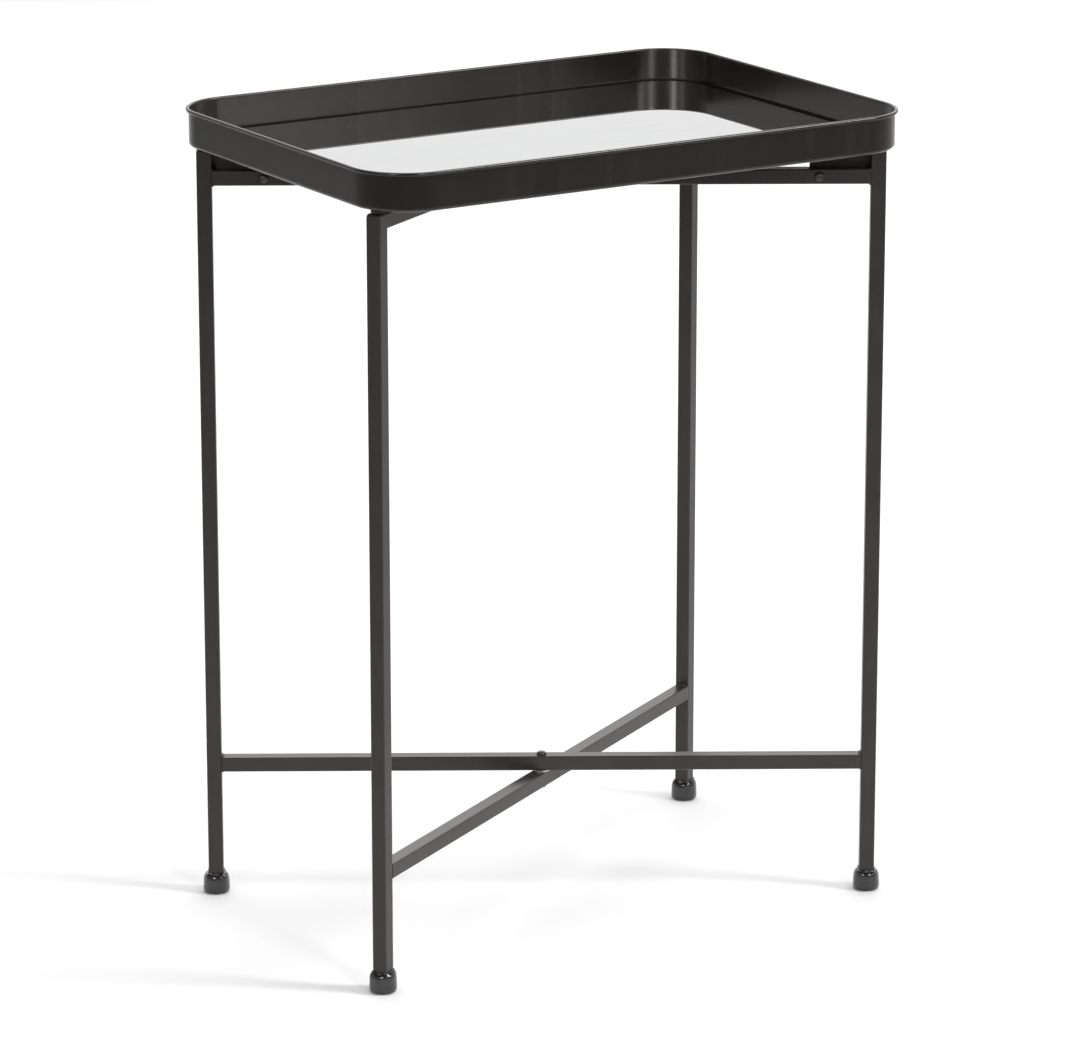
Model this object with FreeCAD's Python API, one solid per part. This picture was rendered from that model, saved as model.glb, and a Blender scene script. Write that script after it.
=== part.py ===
"""Folding tray side table: a deep steel tray with a mirror floor, on a stand of two crossing frames.

Units are millimetres and +Z is up.  The origin is on the floor, on the vertical pivot axis of the
stand.  X runs along the tray and Y across it.  The fixed frame stands on the diagonal through
-X -Y and +X +Y, the swing frame on the other one, and two rivets on the Z axis join them.
"""

import FreeCAD
import Part
import math
import os

from FreeCAD import Vector

# ---------------------------------------------------------------- overall sizes
TABLE_HEIGHT = 650.0        # floor to the top of the tray's rim
TRAY_LENGTH = 482.0         # outside of the wall, along X
TRAY_WIDTH = 340.0          # outside of the wall, along Y
TRAY_DEPTH = 30.5           # underside of the floor to the top of the rim

# ---------------------------------------------------------------- tray
TRAY_CORNER_RADIUS = 45.0   # outside of the wall, seen from above
TRAY_SHEET = 0.9            # sheet steel
TRAY_BEND_RADIUS = 3.0      # outside, where the wall meets the floor
RIM_CURL_RADIUS = 1.6       # outside of the rolled rim
RIM_CURL_ANGLE = 250.0      # how far round the sheet is rolled
MIRROR_THICKNESS = 3.0
MIRROR_MARGIN = 5.0         # mirror edge to the inside of the wall
MIRROR_EDGE_BEVEL = 0.6
TAPE_THICKNESS = 0.4
TAPE_WIDTH = 19.0
TAPE_INSET = 30.0           # mirror edge to the nearest tape
TAPE_STRIPS = 4

# ---------------------------------------------------------------- stand
TUBE = 12.0                 # square tube, outside
TUBE_WALL = 1.2
TUBE_EDGE_RADIUS = 1.0
LEG_INSET_X = 13.0          # outside of the tray's wall to the leg's centre
LEG_INSET_Y = 34.0
LOWER_BAR_HEIGHT = 104.0    # floor to the underside of the swing frame's lower bar
FRAME_CORNER_RADIUS = 3.0   # ground corner of the fixed frame's mitres
LEG_END_WALL = 1.5          # closed top of the swing frame's legs

# ---------------------------------------------------------------- pivots
PIVOT_SHANK = 5.0
PIVOT_RUNNING_GAP = 0.05    # all round the shank, where the swing frame turns on it
PIVOT_HEAD = 8.0
PIVOT_HEAD_HEIGHT = 2.8
UPPER_HEAD_HEIGHT = 2.2
WASHER_DIAMETER = 14.0
WASHER_GAP = 0.15           # all round the shank
LOWER_WASHER = 1.2
UPPER_SPACER = 3.5

# ---------------------------------------------------------------- feet and pads
FOOT_DIAMETER = 21.8
FOOT_HEIGHT = 17.5
FOOT_FLOOR = 3.0            # rubber under the tube's end
FOOT_SHOULDER_RADIUS = 4.0
FOOT_SOLE_RADIUS = 2.6
FOOT_WAIST = 0.35           # how far the side is pinched in
PAD_DIAMETER = 9.0
PAD_HEIGHT = 3.5
PAD_EDGE_RADIUS = 0.8
PAD_STEM = 4.4
PAD_STEM_LENGTH = 4.5

# ---------------------------------------------------------------- brackets
BRACKET_LENGTH = 48.0       # along the bar, from the leg inwards
BRACKET_LEG_LAP = 8.0       # how far the web reaches behind the leg, to be welded there
BRACKET_SHEET = 1.5
BRACKET_FLANGE = 9.0        # how far the ledge reaches over the bar
BRACKET_LAP = 9.0           # how far the web hangs down beside the bar
BRACKET_CORNER_RADIUS = 3.0
BRACKET_BEND_RADIUS = 2.3   # outside of the bend between web and ledge
BRACKET_RIVET_INSET = 7.0   # inner end of the bracket to the rivet's centre
RIVET_SHANK = 4.0
RIVET_HEAD = 7.5
RIVET_HEAD_HEIGHT = 2.4
RIVET_TAIL = 6.0
RIVET_TAIL_HEIGHT = 1.2

# ---------------------------------------------------------------- worked out from the above
TRAY_BOTTOM = TABLE_HEIGHT - TRAY_DEPTH
TRAY_FLOOR_TOP = TRAY_BOTTOM + TRAY_SHEET
LEG_TOP = TRAY_BOTTOM - PAD_HEIGHT
LEG_X = TRAY_LENGTH / 2 - LEG_INSET_X
LEG_Y = TRAY_WIDTH / 2 - LEG_INSET_Y
LEG_RADIUS = math.hypot(LEG_X, LEG_Y)
FRAME_ANGLE = math.degrees(math.atan2(LEG_Y, LEG_X))
FRAME_HALF = LEG_RADIUS + TUBE / 2
BAR_HALF = LEG_RADIUS - TUBE / 2
FIXED_TOP_BAR = LEG_TOP - TUBE
SWING_TOP_BAR = FIXED_TOP_BAR - UPPER_SPACER - TUBE
SWING_LOWER_BAR = LOWER_BAR_HEIGHT
FIXED_LOWER_BAR = SWING_LOWER_BAR - LOWER_WASHER - TUBE
BRACKET_INNER = BAR_HALF - BRACKET_LENGTH
BRACKET_RIVET_AT = BRACKET_INNER + BRACKET_RIVET_INSET

Z_AXIS = Vector(0, 0, 1)
ORIGIN = Vector(0, 0, 0)


# ---------------------------------------------------------------- helpers
def save(shape, name):
    """Write one sub-part to its own STEP file."""
    shape.exportStep(os.path.join("parts", name + ".step"))


def box(u0, u1, v0, v1, z0, z1):
    """Box between two corners."""
    return Part.makeBox(u1 - u0, v1 - v0, z1 - z0, Vector(u0, v0, z0))


def pin(radius, z0, z1, u=0.0, v=0.0):
    """Upright cylinder between two heights."""
    return Part.makeCylinder(radius, z1 - z0, Vector(u, v, z0))


def rounded_plate(half_x, half_y, radius, z0, z1):
    """Upright plate with rounded corners."""
    plate = box(-half_x, half_x, -half_y, half_y, z0, z1)
    upright = [e for e in plate.Edges if e.tangentAt(e.FirstParameter).isEqual(Z_AXIS, 1e-6)
               or e.tangentAt(e.FirstParameter).isEqual(-Z_AXIS, 1e-6)]
    return plate.makeFillet(radius, upright)


def turned(points_and_arcs):
    """Solid of revolution about Z from the edges of a closed outline in the XZ plane."""
    wire = Part.Wire(Part.__sortEdges__(points_and_arcs))
    return Part.Face(wire).revolve(ORIGIN, Z_AXIS, 360)


def line(a, b):
    """Straight edge between two (x, z) points of the XZ plane."""
    return Part.LineSegment(Vector(a[0], 0, a[1]), Vector(b[0], 0, b[1])).toShape()


def arc(a, middle, b):
    """Arc through three (x, z) points of the XZ plane."""
    return Part.Arc(Vector(a[0], 0, a[1]), Vector(middle[0], 0, middle[1]),
                    Vector(b[0], 0, b[1])).toShape()


def polar(centre, radius, degrees):
    """The (x, z) point of a circle at an angle."""
    turn = math.radians(degrees)
    return (centre[0] + radius * math.cos(turn), centre[1] + radius * math.sin(turn))


def on_frame(shape, side):
    """Turn a shape from the frame's own plane (u along X) to its diagonal: fixed +1, swing -1."""
    turned_shape = shape.copy()
    turned_shape.rotate(ORIGIN, Z_AXIS, side * FRAME_ANGLE)
    return turned_shape


FIXED = 1
SWING = -1


# ---------------------------------------------------------------- tray
def wall_profile():
    """Section of the tray's wall: x is outwards from the wall's outside, the curl is at the top."""
    curl = (RIM_CURL_RADIUS - TRAY_SHEET, TABLE_HEIGHT - RIM_CURL_RADIUS)
    bore = RIM_CURL_RADIUS - TRAY_SHEET
    end = 180 - RIM_CURL_ANGLE
    bend = (-TRAY_BEND_RADIUS, TRAY_BOTTOM + TRAY_BEND_RADIUS)
    inner_bend = TRAY_BEND_RADIUS - TRAY_SHEET
    middle = (180 + end) / 2
    edges = [
        line(polar(bend, TRAY_BEND_RADIUS, 0), polar(curl, bore, 180)),
        arc(polar(curl, bore, 180), polar(curl, bore, middle), polar(curl, bore, end)),
        line(polar(curl, bore, end), polar(curl, RIM_CURL_RADIUS, end)),
        arc(polar(curl, RIM_CURL_RADIUS, end), polar(curl, RIM_CURL_RADIUS, middle),
            polar(curl, RIM_CURL_RADIUS, 180)),
        line(polar(curl, RIM_CURL_RADIUS, 180), polar(bend, inner_bend, 0)),
        arc(polar(bend, inner_bend, 0), polar(bend, inner_bend, -45), polar(bend, inner_bend, -90)),
        line(polar(bend, inner_bend, -90), polar(bend, TRAY_BEND_RADIUS, -90)),
        arc(polar(bend, TRAY_BEND_RADIUS, -90), polar(bend, TRAY_BEND_RADIUS, -45),
            polar(bend, TRAY_BEND_RADIUS, 0)),
    ]
    return Part.Face(Part.Wire(Part.__sortEdges__(edges)))


def wall_run(length, outwards, along):
    """Straight stretch of the wall, centred on the tray: outwards is its distance, along its turn."""
    face = wall_profile()
    face.translate(Vector(outwards, -length / 2, 0))
    run = face.extrude(Vector(0, length, 0))
    run.rotate(ORIGIN, Z_AXIS, along)
    return run


def wall_corner(quarter):
    """Rounded corner of the wall in one of the four quarters."""
    face = wall_profile()
    face.translate(Vector(TRAY_CORNER_RADIUS, 0, 0))
    corner = face.revolve(ORIGIN, Z_AXIS, 90)
    corner.rotate(ORIGIN, Z_AXIS, 90 * quarter)
    side_x = 1 if quarter in (0, 3) else -1
    side_y = 1 if quarter in (0, 1) else -1
    corner.translate(Vector(side_x * (TRAY_LENGTH / 2 - TRAY_CORNER_RADIUS),
                            side_y * (TRAY_WIDTH / 2 - TRAY_CORNER_RADIUS), 0))
    return corner


def tray_pan():
    """Pressed tray: flat floor, upright wall and rolled rim in one sheet."""
    floor = rounded_plate(TRAY_LENGTH / 2 - TRAY_BEND_RADIUS, TRAY_WIDTH / 2 - TRAY_BEND_RADIUS,
                          TRAY_CORNER_RADIUS - TRAY_BEND_RADIUS, TRAY_BOTTOM, TRAY_FLOOR_TOP)
    side_run = TRAY_WIDTH - 2 * TRAY_CORNER_RADIUS
    long_run = TRAY_LENGTH - 2 * TRAY_CORNER_RADIUS
    walls = [wall_run(side_run, TRAY_LENGTH / 2, turn) for turn in (0, 180)]
    walls += [wall_run(long_run, TRAY_WIDTH / 2, turn) for turn in (90, 270)]
    walls += [wall_corner(quarter) for quarter in range(4)]
    return floor.multiFuse(walls).removeSplitter()


def mirror_half_sizes():
    """Half length, half width and corner radius of the mirror."""
    shrink = TRAY_SHEET + MIRROR_MARGIN
    return TRAY_LENGTH / 2 - shrink, TRAY_WIDTH / 2 - shrink, TRAY_CORNER_RADIUS - shrink


def mirror_glass():
    """Mirror that covers the tray's floor, with a ground bevel round its top edge."""
    half_x, half_y, radius = mirror_half_sizes()
    bottom = TRAY_FLOOR_TOP + TAPE_THICKNESS
    top = bottom + MIRROR_THICKNESS
    glass = rounded_plate(half_x, half_y, radius, bottom, top)
    rim = [e for e in glass.Edges if e.BoundBox.ZMin > top - 0.01]
    return glass.makeChamfer(MIRROR_EDGE_BEVEL, rim)


def mirror_tape():
    """Strips of double-sided tape under the mirror, evenly spaced along it."""
    half_x, half_y, _ = mirror_half_sizes()
    reach = half_y - TAPE_INSET
    first = TAPE_INSET + TAPE_WIDTH / 2 - half_x
    step = -2 * first / (TAPE_STRIPS - 1)
    strips = []
    for index in range(TAPE_STRIPS):
        centre = first + index * step
        strips.append(box(centre - TAPE_WIDTH / 2, centre + TAPE_WIDTH / 2, -reach, reach,
                          TRAY_FLOOR_TOP, TRAY_FLOOR_TOP + TAPE_THICKNESS))
    return Part.makeCompound(strips)


# ---------------------------------------------------------------- stand tubes, in the frame's plane
def square_section(size, radius):
    """Rounded square face in the XY plane, centred on the origin."""
    half = size / 2
    flat = half - radius
    corner = radius * math.sqrt(0.5)
    edges = []
    for turn in range(4):
        spin = FreeCAD.Rotation(Z_AXIS, 90 * turn)
        start = spin.multVec(Vector(half, -flat, 0))
        stop = spin.multVec(Vector(half, flat, 0))
        middle = spin.multVec(Vector(flat + corner, flat + corner, 0))
        after = spin.multVec(Vector(flat, half, 0))
        edges.append(Part.LineSegment(start, stop).toShape())
        edges.append(Part.Arc(stop, middle, after).toShape())
    return Part.Face(Part.Wire(edges))


def tube_section():
    """Ring face of the square tube."""
    inside = TUBE - 2 * TUBE_WALL
    return square_section(TUBE, TUBE_EDGE_RADIUS).cut(square_section(inside, TUBE_EDGE_RADIUS / 2))


def upright_tube(u, z0, z1):
    """Square tube standing at a place along the frame."""
    tube = tube_section().extrude(Vector(0, 0, z1 - z0))
    tube.translate(Vector(u, 0, z0))
    return tube


def level_tube(u0, u1, underside):
    """Square tube lying along the frame."""
    tube = tube_section().extrude(Vector(0, 0, u1 - u0))
    tube.rotate(ORIGIN, Vector(0, 1, 0), 90)
    tube.translate(Vector(u0, 0, underside + TUBE / 2))
    return tube


def ground_outline(bottom):
    """Block whose two upper corners are rounded as the fixed frame's are ground."""
    block = box(-FRAME_HALF, FRAME_HALF, -TUBE, TUBE, bottom, LEG_TOP)
    upper = [e for e in block.Edges
             if e.BoundBox.ZMin > LEG_TOP - 0.01 and e.BoundBox.XLength < 0.01]
    return block.makeFillet(FRAME_CORNER_RADIUS, upper)


def mitre_wedge(side):
    """Everything on the bar's side of the mitre plane at one upper corner of the fixed frame."""
    reach = 2 * TUBE
    corner = Vector(side * FRAME_HALF, -TUBE, LEG_TOP)
    inner = Vector(side * (FRAME_HALF - reach), -TUBE, LEG_TOP - reach)
    above = Vector(side * (FRAME_HALF - reach), -TUBE, LEG_TOP)
    face = Part.Face(Part.makePolygon([corner, inner, above, corner]))
    return face.extrude(Vector(0, 2 * TUBE, 0))


def fixed_leg(side):
    """Leg of the fixed frame, mitred into the top bar, with its ground corner."""
    leg = upright_tube(side * LEG_RADIUS, FOOT_FLOOR, LEG_TOP)
    return leg.cut(mitre_wedge(side)).common(ground_outline(FOOT_FLOOR))


def fixed_top_bar():
    """Top bar of the fixed frame, with mitred ends, pad holes and the rivet's hole."""
    bar = level_tube(-FRAME_HALF, FRAME_HALF, FIXED_TOP_BAR)
    middle = level_tube(-(FRAME_HALF - TUBE), FRAME_HALF - TUBE, FIXED_TOP_BAR)
    ends = bar.common(mitre_wedge(-1).fuse(mitre_wedge(1)))
    bar = middle.fuse(ends).removeSplitter().common(ground_outline(FIXED_TOP_BAR))
    for side in (-1, 1):
        bar = bar.cut(pad_hole(side))
    return bar.cut(pin(PIVOT_SHANK / 2, FIXED_TOP_BAR, LEG_TOP))


def pad_hole(side):
    """Hole for a pad's stem through the wall at the top of a leg."""
    return pin(PAD_STEM / 2, LEG_TOP - PAD_STEM_LENGTH, LEG_TOP, side * LEG_RADIUS)


def fixed_lower_bar():
    """Lower bar of the fixed frame, welded between its legs."""
    bar = level_tube(-BAR_HALF, BAR_HALF, FIXED_LOWER_BAR)
    return bar.cut(pin(PIVOT_SHANK / 2, FIXED_LOWER_BAR, FIXED_LOWER_BAR + TUBE))


def swing_leg(side):
    """Leg of the swing frame, closed at the top, with the hole for the pad's stem."""
    tube = upright_tube(side * LEG_RADIUS, FOOT_FLOOR, LEG_TOP)
    closed = square_section(TUBE, TUBE_EDGE_RADIUS).extrude(Vector(0, 0, LEG_END_WALL))
    closed.translate(Vector(side * LEG_RADIUS, 0, LEG_TOP - LEG_END_WALL))
    return tube.fuse(closed).removeSplitter().cut(pad_hole(side))


def swing_bar(underside):
    """Bar of the swing frame: it turns on the rivet, so its hole has the running gap."""
    bar = level_tube(-BAR_HALF, BAR_HALF, underside)
    hole = PIVOT_SHANK / 2 + PIVOT_RUNNING_GAP
    return bar.cut(pin(hole, underside, underside + TUBE))


def swing_top_bar():
    """Top bar of the swing frame, drilled for the bracket rivets."""
    bar = swing_bar(SWING_TOP_BAR)
    for side in (-1, 1):
        bar = bar.cut(cross_pin(RIVET_SHANK / 2, side * BRACKET_RIVET_AT, -TUBE / 2, TUBE / 2))
    return bar


def cross_pin(radius, u, v0, v1):
    """Level cylinder across the frame, at the mid height of the swing frame's top bar."""
    return Part.makeCylinder(radius, v1 - v0, Vector(u, v0, SWING_TOP_BAR + TUBE / 2),
                             Vector(0, 1, 0))


# ---------------------------------------------------------------- brackets
def level_edges(shape, v, z):
    """Edges that run along the frame at a given distance behind it and height."""
    return [e for e in shape.Edges if e.BoundBox.XLength > BRACKET_LENGTH / 2
            and abs(e.BoundBox.Center.y - v) < 0.01 and abs(e.BoundBox.Center.z - z) < 0.01
            and e.BoundBox.YLength + e.BoundBox.ZLength < 0.01]


def bracket(side):
    """Angle riveted behind the swing frame's top bar: its ledge carries the tray beside the leg."""
    near, far = sorted((side * BRACKET_INNER, side * BAR_HALF))
    web_near, web_far = sorted((side * BRACKET_INNER, side * (BAR_HALF + BRACKET_LEG_LAP)))
    back = TUBE / 2
    web_bottom = SWING_TOP_BAR + TUBE - BRACKET_LAP
    web = box(web_near, web_far, back, back + BRACKET_SHEET, web_bottom, TRAY_BOTTOM)
    ledge = box(near, far, back - BRACKET_FLANGE, back, TRAY_BOTTOM - BRACKET_SHEET, TRAY_BOTTOM)
    angle = web.fuse(ledge).removeSplitter()
    angle = angle.makeFillet(BRACKET_BEND_RADIUS,
                             level_edges(angle, back + BRACKET_SHEET, TRAY_BOTTOM))
    angle = angle.makeFillet(BRACKET_BEND_RADIUS - BRACKET_SHEET,
                             level_edges(angle, back, TRAY_BOTTOM - BRACKET_SHEET))
    inner = side * BRACKET_INNER
    ends = [e for e in angle.Edges if abs(e.BoundBox.Center.x - inner) < 0.01]
    corners = [e for e in ends if e.BoundBox.ZMax < web_bottom + 0.01
               or e.BoundBox.YMax < back - BRACKET_FLANGE + 0.01]
    angle = angle.makeFillet(BRACKET_CORNER_RADIUS, corners)
    shank = cross_pin(RIVET_SHANK / 2, side * BRACKET_RIVET_AT, back, back + BRACKET_SHEET)
    return angle.cut(shank)


def bracket_rivet(side):
    """Dome-head rivet through the top bar and the bracket's web."""
    front = -TUBE / 2
    tail = TUBE / 2 + BRACKET_SHEET
    head = dome_head(RIVET_HEAD / 2, RIVET_HEAD_HEIGHT)
    head.rotate(ORIGIN, Vector(1, 0, 0), 90)
    head.translate(Vector(side * BRACKET_RIVET_AT, front, SWING_TOP_BAR + TUBE / 2))
    shank = cross_pin(RIVET_SHANK / 2, side * BRACKET_RIVET_AT, front, tail)
    foot = cross_pin(RIVET_TAIL / 2, side * BRACKET_RIVET_AT, tail, tail + RIVET_TAIL_HEIGHT)
    return head.fuse([shank, foot]).removeSplitter()


# ---------------------------------------------------------------- pivots
def dome_head(radius, height):
    """Low dome on the XY plane: a spherical cap."""
    sphere_radius = (radius ** 2 + height ** 2) / (2 * height)
    centre = (0.0, height - sphere_radius)
    rise = math.degrees(math.asin((sphere_radius - height) / sphere_radius))
    return turned([
        line((0, 0), (radius, 0)),
        arc((radius, 0), polar(centre, sphere_radius, (rise + 90) / 2), (0, height)),
        line((0, height), (0, 0)),
    ])


def pivot_rivet(bottom, top, head_height):
    """Rivet on the Z axis with a dome head above and below the pair of bars."""
    upper = dome_head(PIVOT_HEAD / 2, head_height)
    upper.translate(Vector(0, 0, top))
    lower = dome_head(PIVOT_HEAD / 2, head_height)
    lower.rotate(ORIGIN, Vector(1, 0, 0), 180)
    lower.translate(Vector(0, 0, bottom))
    return pin(PIVOT_SHANK / 2, bottom, top).fuse([upper, lower]).removeSplitter()


def washer(bottom, thickness):
    """Flat ring between the two frames, round the rivet."""
    ring = pin(WASHER_DIAMETER / 2, bottom, bottom + thickness)
    return ring.cut(pin(PIVOT_SHANK / 2 + WASHER_GAP, bottom, bottom + thickness))


# ---------------------------------------------------------------- feet and pads
def foot_cap(side):
    """Moulded rubber cap, pushed over the end of a leg."""
    radius = FOOT_DIAMETER / 2
    shoulder = (radius - FOOT_SHOULDER_RADIUS, FOOT_HEIGHT - FOOT_SHOULDER_RADIUS)
    sole = (radius - FOOT_SOLE_RADIUS, FOOT_SOLE_RADIUS)
    waist = (radius - FOOT_WAIST, (shoulder[1] + sole[1]) / 2)
    body = turned([
        line((0, 0), polar(sole, FOOT_SOLE_RADIUS, -90)),
        arc(polar(sole, FOOT_SOLE_RADIUS, -90), polar(sole, FOOT_SOLE_RADIUS, -45),
            polar(sole, FOOT_SOLE_RADIUS, 0)),
        arc(polar(sole, FOOT_SOLE_RADIUS, 0), waist, polar(shoulder, FOOT_SHOULDER_RADIUS, 0)),
        arc(polar(shoulder, FOOT_SHOULDER_RADIUS, 0), polar(shoulder, FOOT_SHOULDER_RADIUS, 45),
            polar(shoulder, FOOT_SHOULDER_RADIUS, 90)),
        line(polar(shoulder, FOOT_SHOULDER_RADIUS, 90), (0, FOOT_HEIGHT)),
        line((0, FOOT_HEIGHT), (0, 0)),
    ])
    socket = square_section(TUBE, TUBE_EDGE_RADIUS).extrude(Vector(0, 0, FOOT_HEIGHT))
    socket.translate(Vector(0, 0, FOOT_FLOOR))
    cap = body.cut(socket)
    cap.translate(Vector(side * LEG_RADIUS, 0, 0))
    return cap


def tray_pad(side):
    """Round rubber pad on top of a leg, held by its stem."""
    radius = PAD_DIAMETER / 2
    head = pin(radius, LEG_TOP, TRAY_BOTTOM)
    upper = [e for e in head.Edges if e.BoundBox.ZMin > TRAY_BOTTOM - 0.01]
    head = head.makeFillet(PAD_EDGE_RADIUS, upper)
    pad = head.fuse(pin(PAD_STEM / 2, LEG_TOP - PAD_STEM_LENGTH, LEG_TOP)).removeSplitter()
    pad.translate(Vector(side * LEG_RADIUS, 0, 0))
    return pad


# ---------------------------------------------------------------- the assembly
def tray_parts():
    """Sub-parts of the tray, which lifts off the stand."""
    return {
        "tray_pan": tray_pan(),
        "mirror_glass": mirror_glass(),
        "mirror_tape": mirror_tape(),
    }


def frame_ends(frame, names):
    """Leg, foot cap and tray pad at both ends of one frame, the -X end first."""
    leg = fixed_leg if frame == FIXED else swing_leg
    pieces = {}
    for side, name in zip((-1, 1), names):
        pieces["leg_" + name] = on_frame(leg(side), frame)
        pieces["foot_cap_" + name] = on_frame(foot_cap(side), frame)
        pieces["tray_pad_" + name] = on_frame(tray_pad(side), frame)
    return pieces


def fixed_frame_parts():
    """Sub-parts of the fixed frame, with the rivets and washers that it carries."""
    pieces = frame_ends(FIXED, ("front", "back"))
    pieces["fixed_top_bar"] = on_frame(fixed_top_bar(), FIXED)
    pieces["fixed_lower_bar"] = on_frame(fixed_lower_bar(), FIXED)
    pieces["lower_pivot_rivet"] = pivot_rivet(FIXED_LOWER_BAR, SWING_LOWER_BAR + TUBE,
                                              PIVOT_HEAD_HEIGHT)
    pieces["upper_pivot_rivet"] = pivot_rivet(SWING_TOP_BAR, LEG_TOP, UPPER_HEAD_HEIGHT)
    pieces["lower_pivot_washer"] = washer(FIXED_LOWER_BAR + TUBE, LOWER_WASHER)
    pieces["upper_pivot_spacer"] = washer(SWING_TOP_BAR + TUBE, UPPER_SPACER)
    return pieces


def swing_frame_parts():
    """Sub-parts of the swing frame, with the brackets riveted to it."""
    pieces = frame_ends(SWING, ("left", "right"))
    pieces["swing_top_bar"] = on_frame(swing_top_bar(), SWING)
    pieces["swing_lower_bar"] = on_frame(swing_bar(SWING_LOWER_BAR), SWING)
    for side, name in ((-1, "left"), (1, "right")):
        pieces["tray_bracket_" + name] = on_frame(bracket(side), SWING)
        pieces["bracket_rivet_" + name] = on_frame(bracket_rivet(side), SWING)
    return pieces


def main():
    """Build every sub-part and write it."""
    os.makedirs("parts", exist_ok=True)
    for group in (tray_parts(), fixed_frame_parts(), swing_frame_parts()):
        for name, shape in group.items():
            save(shape, name)
            print(name, len(shape.Solids), round(shape.Volume, 1), shape.isValid())


main()
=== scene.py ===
"""Visible model of a folding tray side table: pressed tray, mirror floor and crossing tube stand.

Lengths are metres and +Z is up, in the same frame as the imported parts.  Each sub-assembly is a
class whose fields are its sizes; it builds its meshes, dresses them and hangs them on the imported
bodies, so every piece follows the fold of the stand and the lift of the tray.
"""

import logging
import math
from dataclasses import dataclass, field
from enum import Enum
from typing import Optional, Sequence, Union

import bmesh
import bpy
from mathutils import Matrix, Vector


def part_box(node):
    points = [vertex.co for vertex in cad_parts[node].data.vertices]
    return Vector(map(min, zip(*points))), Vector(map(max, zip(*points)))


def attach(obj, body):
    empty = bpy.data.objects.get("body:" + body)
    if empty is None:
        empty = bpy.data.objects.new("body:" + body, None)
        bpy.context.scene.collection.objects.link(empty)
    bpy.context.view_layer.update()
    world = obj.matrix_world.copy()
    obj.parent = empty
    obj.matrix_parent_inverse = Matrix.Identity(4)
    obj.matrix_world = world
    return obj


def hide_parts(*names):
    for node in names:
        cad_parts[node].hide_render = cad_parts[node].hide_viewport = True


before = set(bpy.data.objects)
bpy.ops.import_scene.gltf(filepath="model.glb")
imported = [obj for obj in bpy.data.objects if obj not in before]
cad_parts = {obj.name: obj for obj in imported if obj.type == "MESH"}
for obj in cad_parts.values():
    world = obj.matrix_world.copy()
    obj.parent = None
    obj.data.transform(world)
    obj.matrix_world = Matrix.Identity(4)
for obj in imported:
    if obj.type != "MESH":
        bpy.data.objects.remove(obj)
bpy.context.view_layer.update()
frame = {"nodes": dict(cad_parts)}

LOG = logging.getLogger("tray_table")
MM = 0.001
QUARTER = math.pi / 2

# The -X end of a frame and then its other end, or the lower side of a bar and then the upper.
SIDES = (-1, 1)
# Points closer than this are one point.
MERGE_DISTANCE = 1e-7
# A face whose normal is steeper than this is level.
LEVEL_FACE = 0.9
# Points along each corner of a swept path before it is divided evenly.
CORNER_RESOLUTION = 96
# Keeps a whole quotient from being rounded down to the number below it.
ROUNDING = 1e-5
# Brings a wall's waviness to its full size, out and in, half way up the wall.
WAVE_GAIN = 8.0

Number = Union[float, "Wire"]
Colour = tuple[float, float, float]
Point = tuple[float, float]


# ------------------------------------------------------------------ names used by every piece
class Body(Enum):
    """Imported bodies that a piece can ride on."""

    FIXED = "fixed_frame"
    SWING = "swing_frame"
    TRAY = "tray"


class Slot(Enum):
    """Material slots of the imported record."""

    TRAY_PAINT = "tray_paint"
    FRAME_PAINT = "frame_paint"
    MIRROR = "mirror"
    TAPE = "foam_tape"
    FOOT = "foot_rubber"
    PAD = "pad_rubber"
    RIVET = "rivet_black"
    WASHER = "washer_zinc"


class End(Enum):
    """The four legs: which side of its frame each one stands on."""

    FRONT = -1
    BACK = 1
    LEFT = -2
    RIGHT = 2

    @property
    def side(self) -> int:
        """Minus one at the -X end of the frame, plus one at the other."""
        return 1 if self.value > 0 else -1

    @property
    def label(self) -> str:
        """The word that this leg's parts carry in their names."""
        return self.name.lower()


# ------------------------------------------------------------------ node trees as expressions
class Wire:
    """An output socket that takes part in arithmetic; every operator adds its Math node."""

    def __init__(self, graph: "Graph", node: bpy.types.Node, socket: bpy.types.NodeSocket) -> None:
        """Wrap one output socket.

        Args:
            graph: The graph that the node belongs to.
            node: The node whose output this is.
            socket: The output socket.
        """
        self.graph = graph
        self.node = node
        self.socket = socket

    def out(self, name: str) -> "Wire":
        """Another output of the same node, by name."""
        return Wire(self.graph, self.node, self.node.outputs[name])

    def math(self, operation: str, *others: Number) -> "Wire":
        """Apply a Math node with this wire as its first value.

        Args:
            operation: The Math node's operation.
            others: Its other values, as numbers or wires.

        Returns:
            The node's result.
        """
        return self.graph.math(operation, self, *others)

    def __add__(self, other: Number) -> "Wire":
        """Sum."""
        return self.math("ADD", other)

    def __radd__(self, other: Number) -> "Wire":
        """Sum with a number on the left."""
        return self.graph.math("ADD", other, self)

    def __sub__(self, other: Number) -> "Wire":
        """Difference."""
        return self.math("SUBTRACT", other)

    def __rsub__(self, other: Number) -> "Wire":
        """Difference with a number on the left."""
        return self.graph.math("SUBTRACT", other, self)

    def __mul__(self, other: Number) -> "Wire":
        """Product."""
        return self.math("MULTIPLY", other)

    def __rmul__(self, other: Number) -> "Wire":
        """Product with a number on the left."""
        return self.graph.math("MULTIPLY", other, self)

    def __truediv__(self, other: Number) -> "Wire":
        """Quotient."""
        return self.math("DIVIDE", other)

    def __rtruediv__(self, other: Number) -> "Wire":
        """Quotient with a number on the left."""
        return self.graph.math("DIVIDE", other, self)

    def smooth(self, low: float, high: float) -> "Wire":
        """Smooth step from nought at the low value to one at the high value."""
        return self.graph.add(
            "ShaderNodeMapRange",
            {"interpolation_type": "SMOOTHSTEP"},
            {"Value": self, "From Min": low, "From Max": high},
        )


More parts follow.
